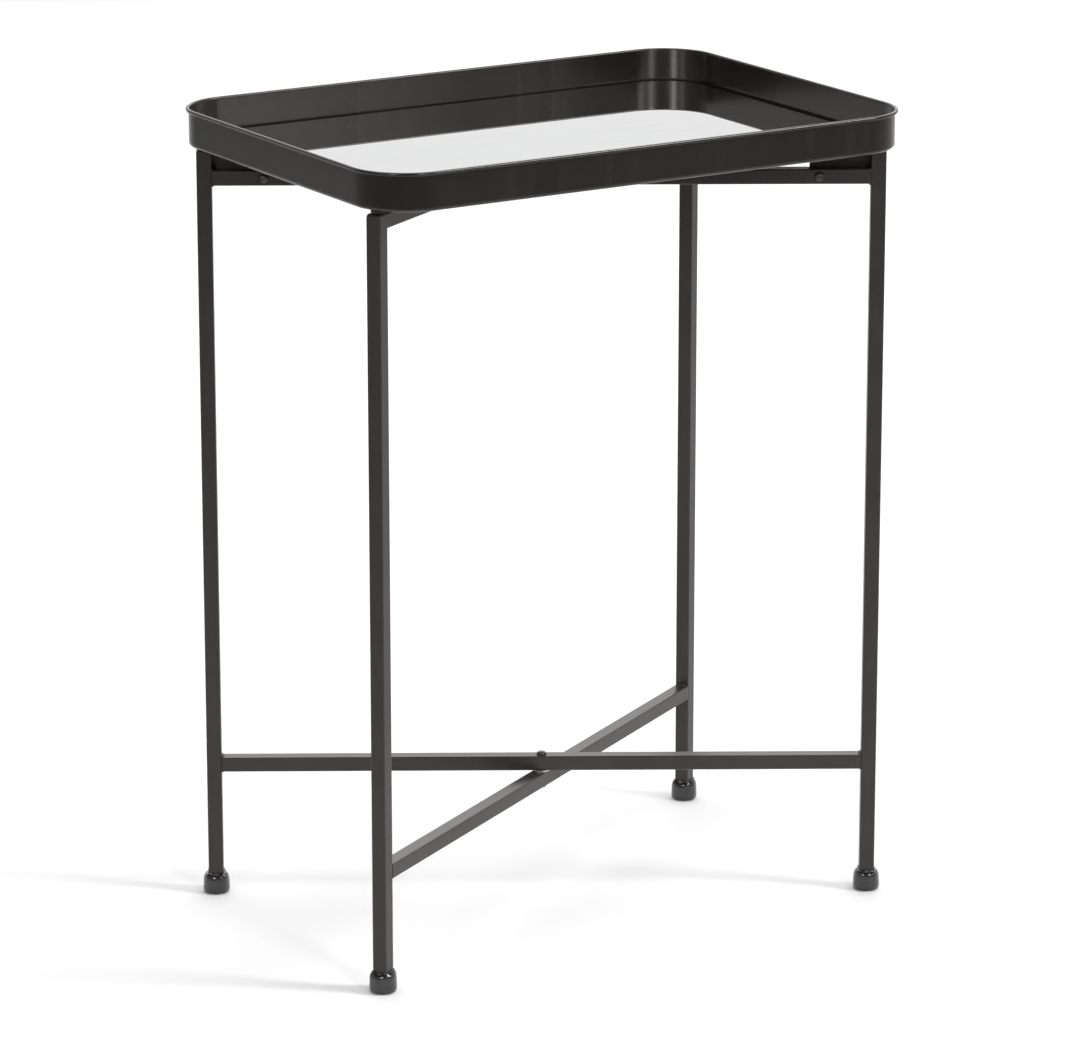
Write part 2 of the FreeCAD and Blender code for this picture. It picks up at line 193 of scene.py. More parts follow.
class Graph:
    """A node tree that is written as Python expressions."""

    def __init__(self, tree: bpy.types.NodeTree) -> None:
        """Start on an empty tree.

        Args:
            tree: The node tree; any nodes in it are removed.
        """
        self.tree = tree
        tree.nodes.clear()

    def add(self, kind: str, settings: Optional[dict] = None, sockets: Optional[dict] = None) -> Wire:
        """Add one node.

        Args:
            kind: The node's type.
            settings: Its properties, set before any socket.
            sockets: A value or a wire for each input, by name, identifier or number.

        Returns:
            The node's first working output.
        """
        node = self.tree.nodes.new(kind)
        for name, value in (settings or {}).items():
            setattr(node, name, value)
        for key, value in (sockets or {}).items():
            target = self._input(node, key)
            if isinstance(value, Wire):
                self.tree.links.new(value.socket, target)
            else:
                target.default_value = value
        working = [s for s in node.outputs if s.enabled and not s.is_unavailable]
        return Wire(self, node, working[0] if working else None)

    @staticmethod
    def _input(node: bpy.types.Node, key: Union[str, int]) -> bpy.types.NodeSocket:
        """Find an input by number, identifier or name."""
        if isinstance(key, int):
            return node.inputs[key]
        for socket in node.inputs:
            if socket.identifier == key:
                return socket
        for socket in node.inputs:
            if socket.name == key and not socket.is_unavailable:
                return socket
        raise KeyError(f"{node.bl_idname} has no input {key}")

    def math(self, operation: str, *values: Number) -> Wire:
        """Add a Math node on up to three values."""
        return self.add("ShaderNodeMath", {"operation": operation}, dict(enumerate(values)))

    def vector(self, operation: str, *values: Union[Wire, Sequence[float]]) -> Wire:
        """Add a Vector Math node; a scale factor goes through scaled()."""
        return self.add("ShaderNodeVectorMath", {"operation": operation}, dict(enumerate(values)))

    def scaled(self, vector: Wire, factor: Number) -> Wire:
        """A vector times a number."""
        return self.add("ShaderNodeVectorMath", {"operation": "SCALE"}, {0: vector, "Scale": factor})

    def joined(self, x: Number, y: Number, z: Number) -> Wire:
        """A vector from three numbers."""
        return self.add("ShaderNodeCombineXYZ", {}, {"X": x, "Y": y, "Z": z})

    def parts(self, vector: Wire) -> tuple[Wire, Wire, Wire]:
        """The three numbers of a vector."""
        split = self.add("ShaderNodeSeparateXYZ", {}, {"Vector": vector})
        return split.out("X"), split.out("Y"), split.out("Z")


class ShapeTree(Graph):
    """A Geometry Nodes group with named inputs, baked onto meshes by grow()."""

    KINDS = {float: "NodeSocketFloat", int: "NodeSocketInt"}

    def __init__(self, name: str, inputs: dict[str, Union[float, int]]) -> None:
        """Open the group with its geometry, its named inputs and its material.

        Args:
            name: The group's name.
            inputs: Name and default of each number that the group takes.
        """
        group = bpy.data.node_groups.new(name, "GeometryNodeTree")
        super().__init__(group)
        face = group.interface
        face.new_socket("Geometry", in_out="OUTPUT", socket_type="NodeSocketGeometry")
        face.new_socket("Geometry", in_out="INPUT", socket_type="NodeSocketGeometry")
        self.identifiers: dict[str, str] = {}
        for label, default in inputs.items():
            socket = face.new_socket(label, in_out="INPUT", socket_type=self.KINDS[type(default)])
            socket.default_value = default
            self.identifiers[label] = socket.identifier
        finish = face.new_socket("Material", in_out="INPUT", socket_type="NodeSocketMaterial")
        self.identifiers["Material"] = finish.identifier
        self.given = self.add("NodeGroupInput")

    def close(self, geometry: Wire) -> None:
        """End the group: real geometry in the chosen material.

        Args:
            geometry: The shape that the group has built.
        """
        real = self.add("GeometryNodeRealizeInstances", {}, {"Geometry": geometry})
        dressed = self.add(
            "GeometryNodeSetMaterial", {}, {"Geometry": real, "Material": self.given.out("Material")}
        )
        self.add("NodeGroupOutput", {}, {"Geometry": dressed})

    def grow(
        self, name: str, seed: bpy.types.Mesh, material: bpy.types.Material, values: dict
    ) -> bpy.types.Mesh:
        """Run the group on a mesh and return the result as a plain mesh.

        Args:
            name: Name of the new mesh.
            seed: The mesh that the group starts from.
            material: The finish of the result.
            values: Value of each named input that differs from its default.

        Returns:
            The evaluated mesh, with nothing live on it.
        """
        carrier = bpy.data.objects.new(name + "_carrier", seed)
        bpy.context.scene.collection.objects.link(carrier)
        modifier = carrier.modifiers.new("shape", "NODES")
        modifier.node_group = self.tree
        for label, value in {**values, "Material": material}.items():
            modifier[self.identifiers[label]] = value
        depsgraph = bpy.context.evaluated_depsgraph_get()
        depsgraph.update()
        mesh = bpy.data.meshes.new_from_object(carrier.evaluated_get(depsgraph))
        mesh.name = name
        carrier.modifiers.remove(modifier)
        bpy.data.objects.remove(carrier)
        return mesh


class Shader(Graph):
    """A material's node tree, with the surface patterns that the finishes share."""

    def __init__(self, name: str) -> None:
        """Open a material.

        Args:
            name: The material's name.
        """
        self.material = bpy.data.materials.new(name)
        self.material.use_nodes = True
        super().__init__(self.material.node_tree)
        self.place = self.add("ShaderNodeTexCoord").out("Object")

    def noise(
        self, size: float, detail: float = 2.0, stretch: Sequence[float] = (1, 1, 1), shift: float = 0.0
    ) -> Wire:
        """Smooth noise between nought and one.

        Args:
            size: Size of its features, in metres.
            detail: How many finer layers it has.
            stretch: Scale along each axis, to draw the pattern out.
            shift: Moves the pattern, so that two finishes differ.

        Returns:
            The noise as a wire.
        """
        mapped = self.add(
            "ShaderNodeMapping", {},
            {"Vector": self.place, "Location": (shift,) * 3, "Scale": tuple(stretch)},
        )
        return self.add(
            "ShaderNodeTexNoise", {}, {"Vector": mapped, "Scale": 1.0 / size, "Detail": detail}
        )

    def cells(self, per_metre: float) -> Wire:
        """Distance to the middle of the nearest cell, at so many cells to the metre."""
        return self.add("ShaderNodeTexVoronoi", {}, {"Vector": self.place, "Scale": per_metre})

    def blend(self, factor: Wire, low: Colour, high: Colour) -> Wire:
        """Mix two colours by a wire."""
        node = self.add(
            "ShaderNodeMix",
            {"data_type": "RGBA"},
            {"Factor_Float": factor, "A_Color": (*low, 1.0), "B_Color": (*high, 1.0)},
        )
        return Wire(self, node.node, next(s for s in node.node.outputs if s.type == "RGBA"))

    def mark(self, name: str) -> Wire:
        """A number that the mesh carries at its points."""
        return self.add("ShaderNodeAttribute", {"attribute_name": name}).out("Fac")

    def bump(self, height: Wire, depth: float, under: Optional[Wire] = None) -> Wire:
        """Normal of a small relief.

        Args:
            height: The relief, between nought and one.
            depth: Its full height in metres.
            under: Normal of another relief that this one lies on.

        Returns:
            The bumped normal.
        """
        sockets = {"Strength": 1.0, "Distance": depth, "Height": height}
        if under is not None:
            sockets["Normal"] = under
        return self.add("ShaderNodeBump", {}, sockets)

    def close(self, sockets: dict) -> bpy.types.Material:
        """End the material in one Principled surface.

        Args:
            sockets: Constants and wires for the surface's inputs.

        Returns:
            The finished material.
        """
        surface = self.add("ShaderNodeBsdfPrincipled", {}, sockets)
        self.add("ShaderNodeOutputMaterial", {}, {"Surface": surface})
        return self.material


# ------------------------------------------------------------------ finishes
@dataclass(frozen=True)
class PowderCoat:
    """Baked satin powder coat: orange peel and faint cloudiness, with a painted highlight on rounded edges
    and painted reflection streaks.
    """

    name: str
    thin: Colour
    thick: Colour
    satin: float
    matt: float
    drag: Sequence[float] = (1.0, 1.0, 1.0)
    reflection_streaks: float = 0.0
    reflection_drag: Sequence[float] = (1.0, 1.0, 0.04)
    warmth: Colour = (1.0, 0.93, 0.91)
    shift: float = 0.0
    cloud_size: float = 45 * MM
    speck_size: float = 1.6 * MM
    reflection_size: float = 9 * MM
    reflection_patch: float = 110 * MM
    swell_size: float = 18 * MM
    swell_depth: float = 0.06 * MM
    peel_size: float = 1.1 * MM
    peel_depth: float = 0.012 * MM

    def make(self) -> bpy.types.Material:
        """Build the material."""
        paint = Shader(self.name)
        cloud = paint.noise(self.cloud_size, 3.0, self.drag, self.shift)
        speck = paint.noise(self.speck_size, 2.0, shift=self.shift + 3.1)
        # Rounded edges carry a painted highlight: lighter colour and a little glossier.
        highlight_mask = paint.mark("painted_highlight")
        # Vertical streaks painted lighter: painted reflection streaks, with a little more roughness.
        line = paint.noise(self.reflection_size, 3.0, self.reflection_drag, self.shift + 9.0).smooth(0.42, 0.72)
        patch = paint.noise(self.reflection_patch, 1.0, shift=self.shift + 2.6).smooth(0.42, 0.62)
        reflection_streak = line * patch * self.reflection_streaks
        tone = (0.65 * cloud + 0.35 * speck).smooth(0.3, 0.7) + reflection_streak
        # Colour: random cloud and speck tone, plus the painted reflection streaks and the painted edge
        # highlight.
        colour = paint.blend((tone + 0.6 * highlight_mask).smooth(0.0, 1.5), self.thick, self.thin)
        rough = self.satin + (self.matt - self.satin) * (0.6 * cloud + 0.4 * speck) - 0.05 * highlight_mask
        rough = rough + 0.12 * reflection_streak
        peel = paint.noise(self.peel_size, 1.0, shift=self.shift + 7.7)
        swell = paint.noise(self.swell_size, 1.0, self.drag, self.shift + 5.2)
        fine = paint.bump(peel, self.peel_depth)
        return paint.close(
            {
                "Base Color": colour,
                "Roughness": rough,
                "Normal": paint.bump(swell, self.swell_depth, fine),
                "IOR": 1.5,
                "Specular Tint": (*self.warmth, 1.0),
            }
        )


@dataclass(frozen=True)
class MirrorSilver:
    """Silvered float glass seen from the front, with a trace of wiping marks."""

    name: str = "mirror_silver"
    bright: Colour = (0.76, 0.765, 0.765)
    dulled: Colour = (0.73, 0.735, 0.735)
    wipe_size: float = 50 * MM
    film_size: float = 120 * MM
    wave_size: float = 90 * MM
    wave_depth: float = 0.02 * MM

    def make(self) -> bpy.types.Material:
        """Build the material."""
        glass = Shader(self.name)
        wiped = glass.noise(self.wipe_size, 4.0, (1.0, 3.5, 1.0))
        film = glass.noise(self.film_size, 2.0, shift=2.0)
        haze = (wiped * film).smooth(0.15, 0.55)
        wave = glass.noise(self.wave_size, 1.0, shift=4.0)
        return glass.close(
            {
                "Base Color": glass.blend(haze, self.bright, self.dulled),
                "Metallic": 1.0,
                "Roughness": 0.012 + 0.03 * haze,
                "Normal": glass.bump(wave, self.wave_depth),
            }
        )


@dataclass(frozen=True)
class GlassEdge:
    """Ground and polished rim of the mirror, faintly green."""

    name: str = "mirror_edge"
    pale: Colour = (0.36, 0.42, 0.39)
    deep: Colour = (0.16, 0.22, 0.19)
    grind_size: float = 2.5 * MM
    grind_depth: float = 0.015 * MM
    drift_size: float = 30 * MM

    def make(self) -> bpy.types.Material:
        """Build the material."""
        rim = Shader(self.name)
        grind = rim.noise(self.grind_size, 3.0, (1.0, 1.0, 6.0))
        drift = rim.noise(self.drift_size, 2.0)
        tone = (grind * 0.5 + drift * 0.5).smooth(0.3, 0.7)
        return rim.close(
            {
                "Base Color": rim.blend(tone, self.deep, self.pale),
                "Roughness": 0.08 + 0.14 * grind,
                "Normal": rim.bump(grind, self.grind_depth),
                "IOR": 1.52,
            }
        )


@dataclass(frozen=True)
class BackingPaint:
    """Grey protective lacquer on the back of the mirror."""

    name: str = "mirror_backing"
    light: Colour = (0.22, 0.23, 0.24)
    dark: Colour = (0.14, 0.15, 0.16)
    roller_size: float = 4 * MM
    roller_depth: float = 0.02 * MM

    def make(self) -> bpy.types.Material:
        """Build the material."""
        lacquer = Shader(self.name)
        roller = lacquer.noise(self.roller_size, 2.0, (1.0, 8.0, 1.0))
        return lacquer.close(
            {
                "Base Color": lacquer.blend(roller, self.dark, self.light),
                "Roughness": 0.45 + 0.2 * roller,
                "Normal": lacquer.bump(roller, self.roller_depth),
            }
        )


@dataclass(frozen=True)
class GlossVinyl:
    """Dip-moulded black vinyl of the foot caps: glossy, with shallow lumps."""

    name: str = "foot_vinyl"
    black: Colour = (0.010, 0.010, 0.010)
    worn: Colour = (0.020, 0.019, 0.018)
    lump_size: float = 4.5 * MM
    lump_depth: float = 0.35 * MM
    grain_size: float = 0.7 * MM
    grain_depth: float = 0.02 * MM
    dust_size: float = 12 * MM

    def make(self) -> bpy.types.Material:
        """Build the material."""
        vinyl = Shader(self.name)
        lumps = vinyl.noise(self.lump_size, 2.0)
        grain = vinyl.noise(self.grain_size, 2.0, shift=1.7)
        dust = vinyl.noise(self.dust_size, 3.0, shift=5.0).smooth(0.45, 0.8)
        lumpy = vinyl.bump(lumps, self.lump_depth)
        return vinyl.close(
            {
                "Base Color": vinyl.blend(dust, self.black, self.worn),
                "Roughness": 0.08 + 0.14 * dust + 0.04 * grain,
                "Coat Weight": 0.5 - 0.35 * dust,
                "Coat Roughness": 0.06,
                "Normal": vinyl.bump(grain, self.grain_depth, lumpy),
            }
        )


@dataclass(frozen=True)
class MattRubber:
    """Black rubber of the pads under the tray."""

    name: str = "pad_rubber_matt"
    dark: Colour = (0.013, 0.013, 0.014)
    dusty: Colour = (0.032, 0.031, 0.030)
    grain_size: float = 0.5 * MM
    grain_depth: float = 0.04 * MM
    dust_size: float = 3 * MM

    def make(self) -> bpy.types.Material:
        """Build the material."""
        rubber = Shader(self.name)
        grain = rubber.noise(self.grain_size, 3.0)
        dust = rubber.noise(self.dust_size, 3.0, shift=2.2).smooth(0.4, 0.8)
        return rubber.close(
            {
                "Base Color": rubber.blend(dust, self.dark, self.dusty),
                "Roughness": 0.62 + 0.2 * grain,
                "Normal": rubber.bump(grain, self.grain_depth),
            }
        )


@dataclass(frozen=True)
class BlackRivet:
    """Blackened steel of the rivets, with the crown painted lighter and more metallic as a painted
    highlight.
    """

    name: str = "rivet_blackened"
    oxide: Colour = (0.012, 0.012, 0.013)
    highlight_tone: Colour = (0.075, 0.073, 0.070)
    pit_size: float = 0.7 * MM
    pit_depth: float = 0.03 * MM
    patch_size: float = 3 * MM

    def make(self) -> bpy.types.Material:
        """Build the material."""
        steel = Shader(self.name)
        highlight_mask = steel.mark("painted_highlight")
        pits = steel.noise(self.pit_size, 3.0)
        patch = steel.noise(self.patch_size, 2.0, shift=4.4)
        # The crown, in random patches, is painted lighter: a painted highlight.
        crown_highlight_mask = (highlight_mask * (0.4 + patch)).smooth(0.2, 1.2)
        return steel.close(
            {
                "Base Color": steel.blend(crown_highlight_mask, self.oxide, self.highlight_tone),
                "Metallic": 0.7 * crown_highlight_mask,
                "Roughness": 0.22 + 0.2 * pits - 0.06 * crown_highlight_mask,
                "Normal": steel.bump(pits, self.pit_depth),
            }
        )


@dataclass(frozen=True)
class ZincPlate:
    """Bright zinc plating of the washers between the frames."""

    name: str = "washer_plating"
    bright: Colour = (0.60, 0.61, 0.63)
    dull: Colour = (0.42, 0.43, 0.44)
    spangles_per_metre: float = 900.0
    turning_size: float = 0.6 * MM
    turning_depth: float = 0.01 * MM

    def make(self) -> bpy.types.Material:
        """Build the material."""
        plate = Shader(self.name)
        spangle = plate.cells(self.spangles_per_metre)
        turned = plate.noise(self.turning_size, 2.0, (1.0, 1.0, 5.0))
        return plate.close(
            {
                "Base Color": plate.blend(spangle.smooth(0.1, 0.9), self.bright, self.dull),
                "Metallic": 1.0,
                "Roughness": 0.28 + 0.2 * turned,
                "Normal": plate.bump(turned, self.turning_depth),
            }
        )


@dataclass(frozen=True)
class FoamTape:
    """White foam of the double-sided strips under the mirror."""

    name: str = "tape_foam"
    foam: Colour = (0.72, 0.71, 0.68)
    pore: Colour = (0.50, 0.49, 0.46)
    cells_per_metre: float = 1600.0
    pore_depth: float = 0.08 * MM

    def make(self) -> bpy.types.Material:
        """Build the material."""
        foam = Shader(self.name)
        pores = foam.cells(self.cells_per_metre).smooth(0.1, 0.6)
        return foam.close(
            {
                "Base Color": foam.blend(pores, self.pore, self.foam),
                "Roughness": 0.85,
                "Normal": foam.bump(pores, self.pore_depth),
            }
        )


@dataclass(frozen=True)
class PaleFloor:
    """Matt white floor of the studio."""

    name: str = "studio_floor"
    light: Colour = (0.93, 0.93, 0.93)
    shade: Colour = (0.915, 0.915, 0.915)
    drift_size: float = 1.5

    def make(self) -> bpy.types.Material:
        """Build the material."""
        floor = Shader(self.name)
        drift = floor.noise(self.drift_size, 2.0)
        return floor.close(
            {
                "Base Color": floor.blend(drift, self.shade, self.light),
                "Roughness": 0.95,
                "Specular IOR Level": 0.05,
            }
        )


@dataclass
class Finishes:
    """Every material of the object, made once."""

    tray: bpy.types.Material = field(init=False)
    frame: bpy.types.Material = field(init=False)
    silver: bpy.types.Material = field(init=False)
    edge: bpy.types.Material = field(init=False)
    backing: bpy.types.Material = field(init=False)
    vinyl: bpy.types.Material = field(init=False)
    rubber: bpy.types.Material = field(init=False)
    rivet: bpy.types.Material = field(init=False)
    zinc: bpy.types.Material = field(init=False)
    foam: bpy.types.Material = field(init=False)

    def __post_init__(self) -> None:
        """Make the materials."""
        # The tray coat carries painted reflection streaks.
        self.tray = PowderCoat(
            "tray_coat", (0.0105, 0.0088, 0.0080), (0.0068, 0.0056, 0.0052), satin=0.18, matt=0.26,
            drag=(1.0, 1.0, 0.25), reflection_streaks=0.5, warmth=(1.0, 0.95, 0.92), shift=1.3,
        ).make()
        self.frame = PowderCoat(
            "frame_coat", (0.025, 0.0235, 0.0225), (0.017, 0.016, 0.0155), satin=0.30, matt=0.40,
        ).make()
        self.silver = MirrorSilver().make()
        self.edge = GlassEdge().make()
        self.backing = BackingPaint().make()
        self.vinyl = GlossVinyl().make()
        self.rubber = MattRubber().make()
        self.rivet = BlackRivet().make()
        self.zinc = ZincPlate().make()
        self.foam = FoamTape().make()


# ------------------------------------------------------------------ hanging pieces on the frame
def hang(
    mesh: bpy.types.Mesh, name: str, body: Body, slot: Slot, *nodes: str
) -> bpy.types.Object:
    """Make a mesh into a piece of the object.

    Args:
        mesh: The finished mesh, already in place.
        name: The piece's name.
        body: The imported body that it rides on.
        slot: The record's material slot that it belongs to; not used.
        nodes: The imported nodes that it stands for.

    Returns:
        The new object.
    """
    piece = bpy.data.objects.new(name, mesh)
    bpy.context.scene.collection.objects.link(piece)
    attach(piece, body.value)
    if nodes:
        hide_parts(*nodes)
    LOG.info("%s: %d faces on %s", name, len(mesh.polygons), body.value)
    return piece


def dress(node: str, material: bpy.types.Material) -> None:
    """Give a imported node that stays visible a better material.

    Args:
        node: The node's name.
        material: Its finish.
    """
    part = frame["nodes"][node]
    for place in part.material_slots:
        place.material = material
    LOG.info("%s: packed part in %s", node, material.name)


# ------------------------------------------------------------------ mesh helpers
def arc(centre: Point, radius: float, start: float, stop: float, steps: int) -> list[Point]:
    """Points along an arc.

    Args:
        centre: Its centre in the section's plane.
        radius: Its radius.
        start: First angle in degrees.
        stop: Last angle in degrees.
        steps: Number of chords.

    Returns:
        The points, both ends included.
    """
    found = []
    for step in range(steps + 1):
        turn = math.radians(start + (stop - start) * step / steps)
        found.append((centre[0] + radius * math.cos(turn), centre[1] + radius * math.sin(turn)))
    return found


def section_mesh(name: str, points: Sequence[Point]) -> bpy.types.Mesh:
    """Mesh whose points are a section: x is outwards and z is up, in metres."""
    mesh = bpy.data.meshes.new(name)
    edges = [(i, i + 1) for i in range(len(points) - 1)]
    mesh.from_pydata([(s, 0.0, z) for s, z in points], edges, [])
    return mesh


def lofted(
    name: str, rings: Sequence[Sequence[Vector]], highlights: Sequence[float], material: bpy.types.Material
) -> bpy.types.Mesh:
    """Closed skin through rings of points, with a flat cap at each end.

    Args:
        name: The mesh's name.
        rings: Rings with the same number of points.
        highlights: How much painted highlight the finish takes at each point of a ring.
        material: The finish.

    Returns:
        A closed mesh whose faces point outwards.
    """
    shell = bmesh.new()
    # Point layer of the painted highlight that the finish reads.
    highlight_mask = shell.verts.layers.float.new("painted_highlight")
    made = []
    for ring in rings:
        row = [shell.verts.new(point) for point in ring]
        for vert, amount in zip(row, highlights):
            vert[highlight_mask] = amount
        made.append(row)
    count = len(made[0])
    for low, high in zip(made, made[1:]):
        for index in range(count):
            after = (index + 1) % count
            side = shell.faces.new((low[index], low[after], high[after], high[index]))
            side.smooth = True
    shell.faces.new(list(reversed(made[0])))
    shell.faces.new(made[-1])
    bmesh.ops.remove_doubles(shell, verts=shell.verts, dist=MERGE_DISTANCE)
    bmesh.ops.dissolve_degenerate(shell, edges=shell.edges, dist=MERGE_DISTANCE)
    bmesh.ops.recalc_face_normals(shell, faces=shell.faces)
    mesh = bpy.data.meshes.new(name)
    shell.to_mesh(mesh)
    shell.free()
    mesh.materials.append(material)
    return mesh


@dataclass(frozen=True)
class SquareRing:
    """Outline of a square tube with rounded edges, and where its finish takes a painted highlight."""

    size: float = 12 * MM
    edge_radius: float = 1.0 * MM
    margin: float = 0.35 * MM
    least_radius: float = 0.05 * MM
    steps: int = 5

    def outline(self, inset: float = 0.0) -> list[Point]:
        """Points of the outline, centred on the origin.

        Args:
            inset: How far the outline is drawn in.

        Returns:
            The points, counter-clockwise from the first edge.
        """
        flat = self.size / 2 - self.edge_radius
        radius = max(self.edge_radius - inset, self.least_radius)
        reach = flat if inset < self.edge_radius else self.size / 2 - inset - radius
        points = []
        for quarter, (x, y) in enumerate(((1, 1), (-1, 1), (-1, -1), (1, -1))):
            bend = arc((x * reach, y * reach), radius, 90 * quarter, 90 * quarter + 90, self.steps)
            before = self._along(bend[0], quarter, -self.margin)
            after = self._along(bend[-1], quarter + 1, self.margin)
            points += [before, *bend, after]
        return points

    @staticmethod
    def _along(point: Point, quarter: int, distance: float) -> Point:
        """Point moved along the flat before a corner."""
        x, y = ((0.0, 1.0), (-1.0, 0.0), (0.0, -1.0), (1.0, 0.0))[quarter % 4]
        return point[0] + distance * x, point[1] + distance * y

    def highlights(self) -> list[float]:
        """Painted highlight at each point: full on the rounded edges, none on the flats."""
        corner = [math.sin(math.pi * (k + 0.5) / (self.steps + 1)) for k in range(self.steps + 1)]
        return [0.0, *corner, 0.0] * 4


@dataclass(frozen=True)
class FramePlane:
    """Upright plane that one frame of the stand lies in."""

    angle: float
    leg_radius: float

    def at(self, u: float, v: float, z: float) -> Vector:
        """Point at a distance along the frame, across it and above the floor."""
        c, s = math.cos(self.angle), math.sin(self.angle)
        return Vector((u * c - v * s, u * s + v * c, z))


def plane_through(node: str) -> FramePlane:
    """Plane of the frame that has this leg at its +X end."""
    low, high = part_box(node)
    centre = (low + high) / 2
    return FramePlane(math.atan2(centre.y, centre.x), math.hypot(centre.x, centre.y))


# ------------------------------------------------------------------ trees
def sweep_tree() -> ShapeTree:
    """Group that sweeps a section round a rounded rectangle, or round a circle.

    The geometry that it is given is the section: a row of points with x outwards and z up.  The
    two ends of the section are closed by flat caps.  A wall can be given a slight waviness, which
    dies away at its foot and its head.

    Returns:
        The closed group.
    """
    tree = ShapeTree(
        "section_round_rectangle",
        {"Length": 0.4, "Width": 0.3, "Corner Radius": 0.04, "Path Steps": 600,
         "Section Points": 8, "Waviness": 0.0, "Wave Size": 0.05, "Wave Foot": 0.0,
         "Wave Head": 1.0, "Seed": 1},
    )
    given = tree.given
    length, width, radius = (given.out(n) for n in ("Length", "Width", "Corner Radius"))
    steps, rows = given.out("Path Steps"), given.out("Section Points")
    outline = tree.add("GeometryNodeCurvePrimitiveQuadrilateral", {}, {"Width": length, "Height": width})
    rounded = tree.add(
        "GeometryNodeFilletCurve", {"mode": "BEZIER"},
        {"Curve": outline, "Radius": radius, "Limit Radius": True},
    )
    fine = tree.add(
        "GeometryNodeSetSplineResolution", {}, {"Geometry": rounded, "Resolution": CORNER_RESOLUTION}
    )
    path = tree.add("GeometryNodeResampleCurve", {"mode": "COUNT"}, {"Curve": fine, "Count": steps})
    skin = tree.add(
        "GeometryNodeMeshCylinder", {"fill_type": "NGON"},
        {"Vertices": steps, "Side Segments": rows - 1.0, "Fill Segments": 1},
    )
    number = tree.add("GeometryNodeInputIndex")
    row = (number / steps + ROUNDING).math("FLOOR")
    column = number - row * steps
    where = tree.add("GeometryNodeInputPosition")
    sample = {"data_type": "FLOAT_VECTOR", "domain": "POINT"}
    on_path = tree.add(
        "GeometryNodeSampleIndex", sample, {"Geometry": path, "Value": where, "Index": column}
    )
    in_section = tree.add(
        "GeometryNodeSampleIndex", sample,
        {"Geometry": given.out("Geometry"), "Value": where, "Index": row},
    )
    half_x, half_y = length * 0.5 - radius, width * 0.5 - radius
    core_high = tree.joined(half_x, half_y, 0.0)
    core_low = tree.scaled(core_high, -1.0)
    centre = tree.vector("MAXIMUM", tree.vector("MINIMUM", on_path, core_high), core_low)
    outwards = tree.vector("NORMALIZE", tree.vector("SUBTRACT", on_path, centre))
    across, _, height = tree.parts(in_section)
    ripple = tree.add(
        "ShaderNodeTexNoise", {"noise_dimensions": "4D"},
        {"Vector": tree.vector("ADD", on_path, tree.joined(0.0, 0.0, height)),
         "W": given.out("Seed") * 1.0, "Scale": 1.0 / given.out("Wave Size"), "Detail": 1.0},
    )
    foot, head = given.out("Wave Foot"), given.out("Wave Head")
    rise = ((height - foot) / (head - foot)).math("MAXIMUM", 0.0).math("MINIMUM", 1.0)
    swell = (ripple - 0.5) * (rise * (1.0 - rise)) * WAVE_GAIN * given.out("Waviness")
    reach = radius + across + swell
    point = tree.vector("ADD", centre, tree.scaled(outwards, reach))
    placed = tree.vector("ADD", point, tree.joined(0.0, 0.0, height))
    shaped = tree.add("GeometryNodeSetPosition", {}, {"Geometry": skin, "Position": placed})
    for region, smooth in (("Side", True), ("Top", False), ("Bottom", False)):
        shaped = tree.add(
            "GeometryNodeSetShadeSmooth", {"domain": "FACE"},
            {"Geometry": shaped, "Selection": skin.out(region), "Shade Smooth": smooth},
        )
    tree.close(shaped)
    return tree


def weld_tree() -> ShapeTree:
    """Group that lays a rippled weld bead along every line of points it is given.

    Each point carries its own bead_radius.  The bead swells and shrinks along its length in
    even steps, with a little irregularity from the seed.

    Returns:
        The closed group.
    """
    tree = ShapeTree(
        "weld_bead",
        {"Spacing": 0.0005, "Ripple Pitch": 0.0016, "Ripple Depth": 0.07, "Lumpiness": 0.00035,
         "Lump Size": 0.0035, "Sides": 12, "Seed": 5},
    )
    given = tree.given
    lines = tree.add("GeometryNodeMeshToCurve", {}, {"Mesh": given.out("Geometry")})
    path = tree.add(
        "GeometryNodeResampleCurve", {"mode": "LENGTH"}, {"Curve": lines, "Length": given.out("Spacing")}
    )
    along = tree.add("GeometryNodeSplineParameter").out("Length")
    wave = (along / given.out("Ripple Pitch") * (2 * math.pi)).math("SINE")
    radius = tree.add("GeometryNodeInputNamedAttribute", {"data_type": "FLOAT"}, {"Name": "bead_radius"})
    swelled = radius * (1.0 + wave * given.out("Ripple Depth"))
    circle = tree.add(
        "GeometryNodeCurvePrimitiveCircle", {"mode": "RADIUS"},
        {"Resolution": given.out("Sides"), "Radius": 1.0},
    )
    bead = tree.add(
        "GeometryNodeCurveToMesh", {},
        {"Curve": path, "Profile Curve": circle, "Scale": swelled, "Fill Caps": True},
    )
    where = tree.add("GeometryNodeInputPosition")
    grain = tree.add(
        "ShaderNodeTexNoise", {"noise_dimensions": "4D"},
        {"Vector": where, "W": given.out("Seed") * 1.0, "Scale": 1.0 / given.out("Lump Size"),
         "Detail": 1.0},
    ).out("Color")
    shift = tree.scaled(tree.vector("SUBTRACT", grain, (0.5, 0.5, 0.5)), given.out("Lumpiness"))
    lumpy = tree.add("GeometryNodeSetPosition", {}, {"Geometry": bead, "Offset": shift})
    smooth = tree.add("GeometryNodeSetShadeSmooth", {}, {"Geometry": lumpy, "Shade Smooth": True})
    tree.close(smooth)
    return tree


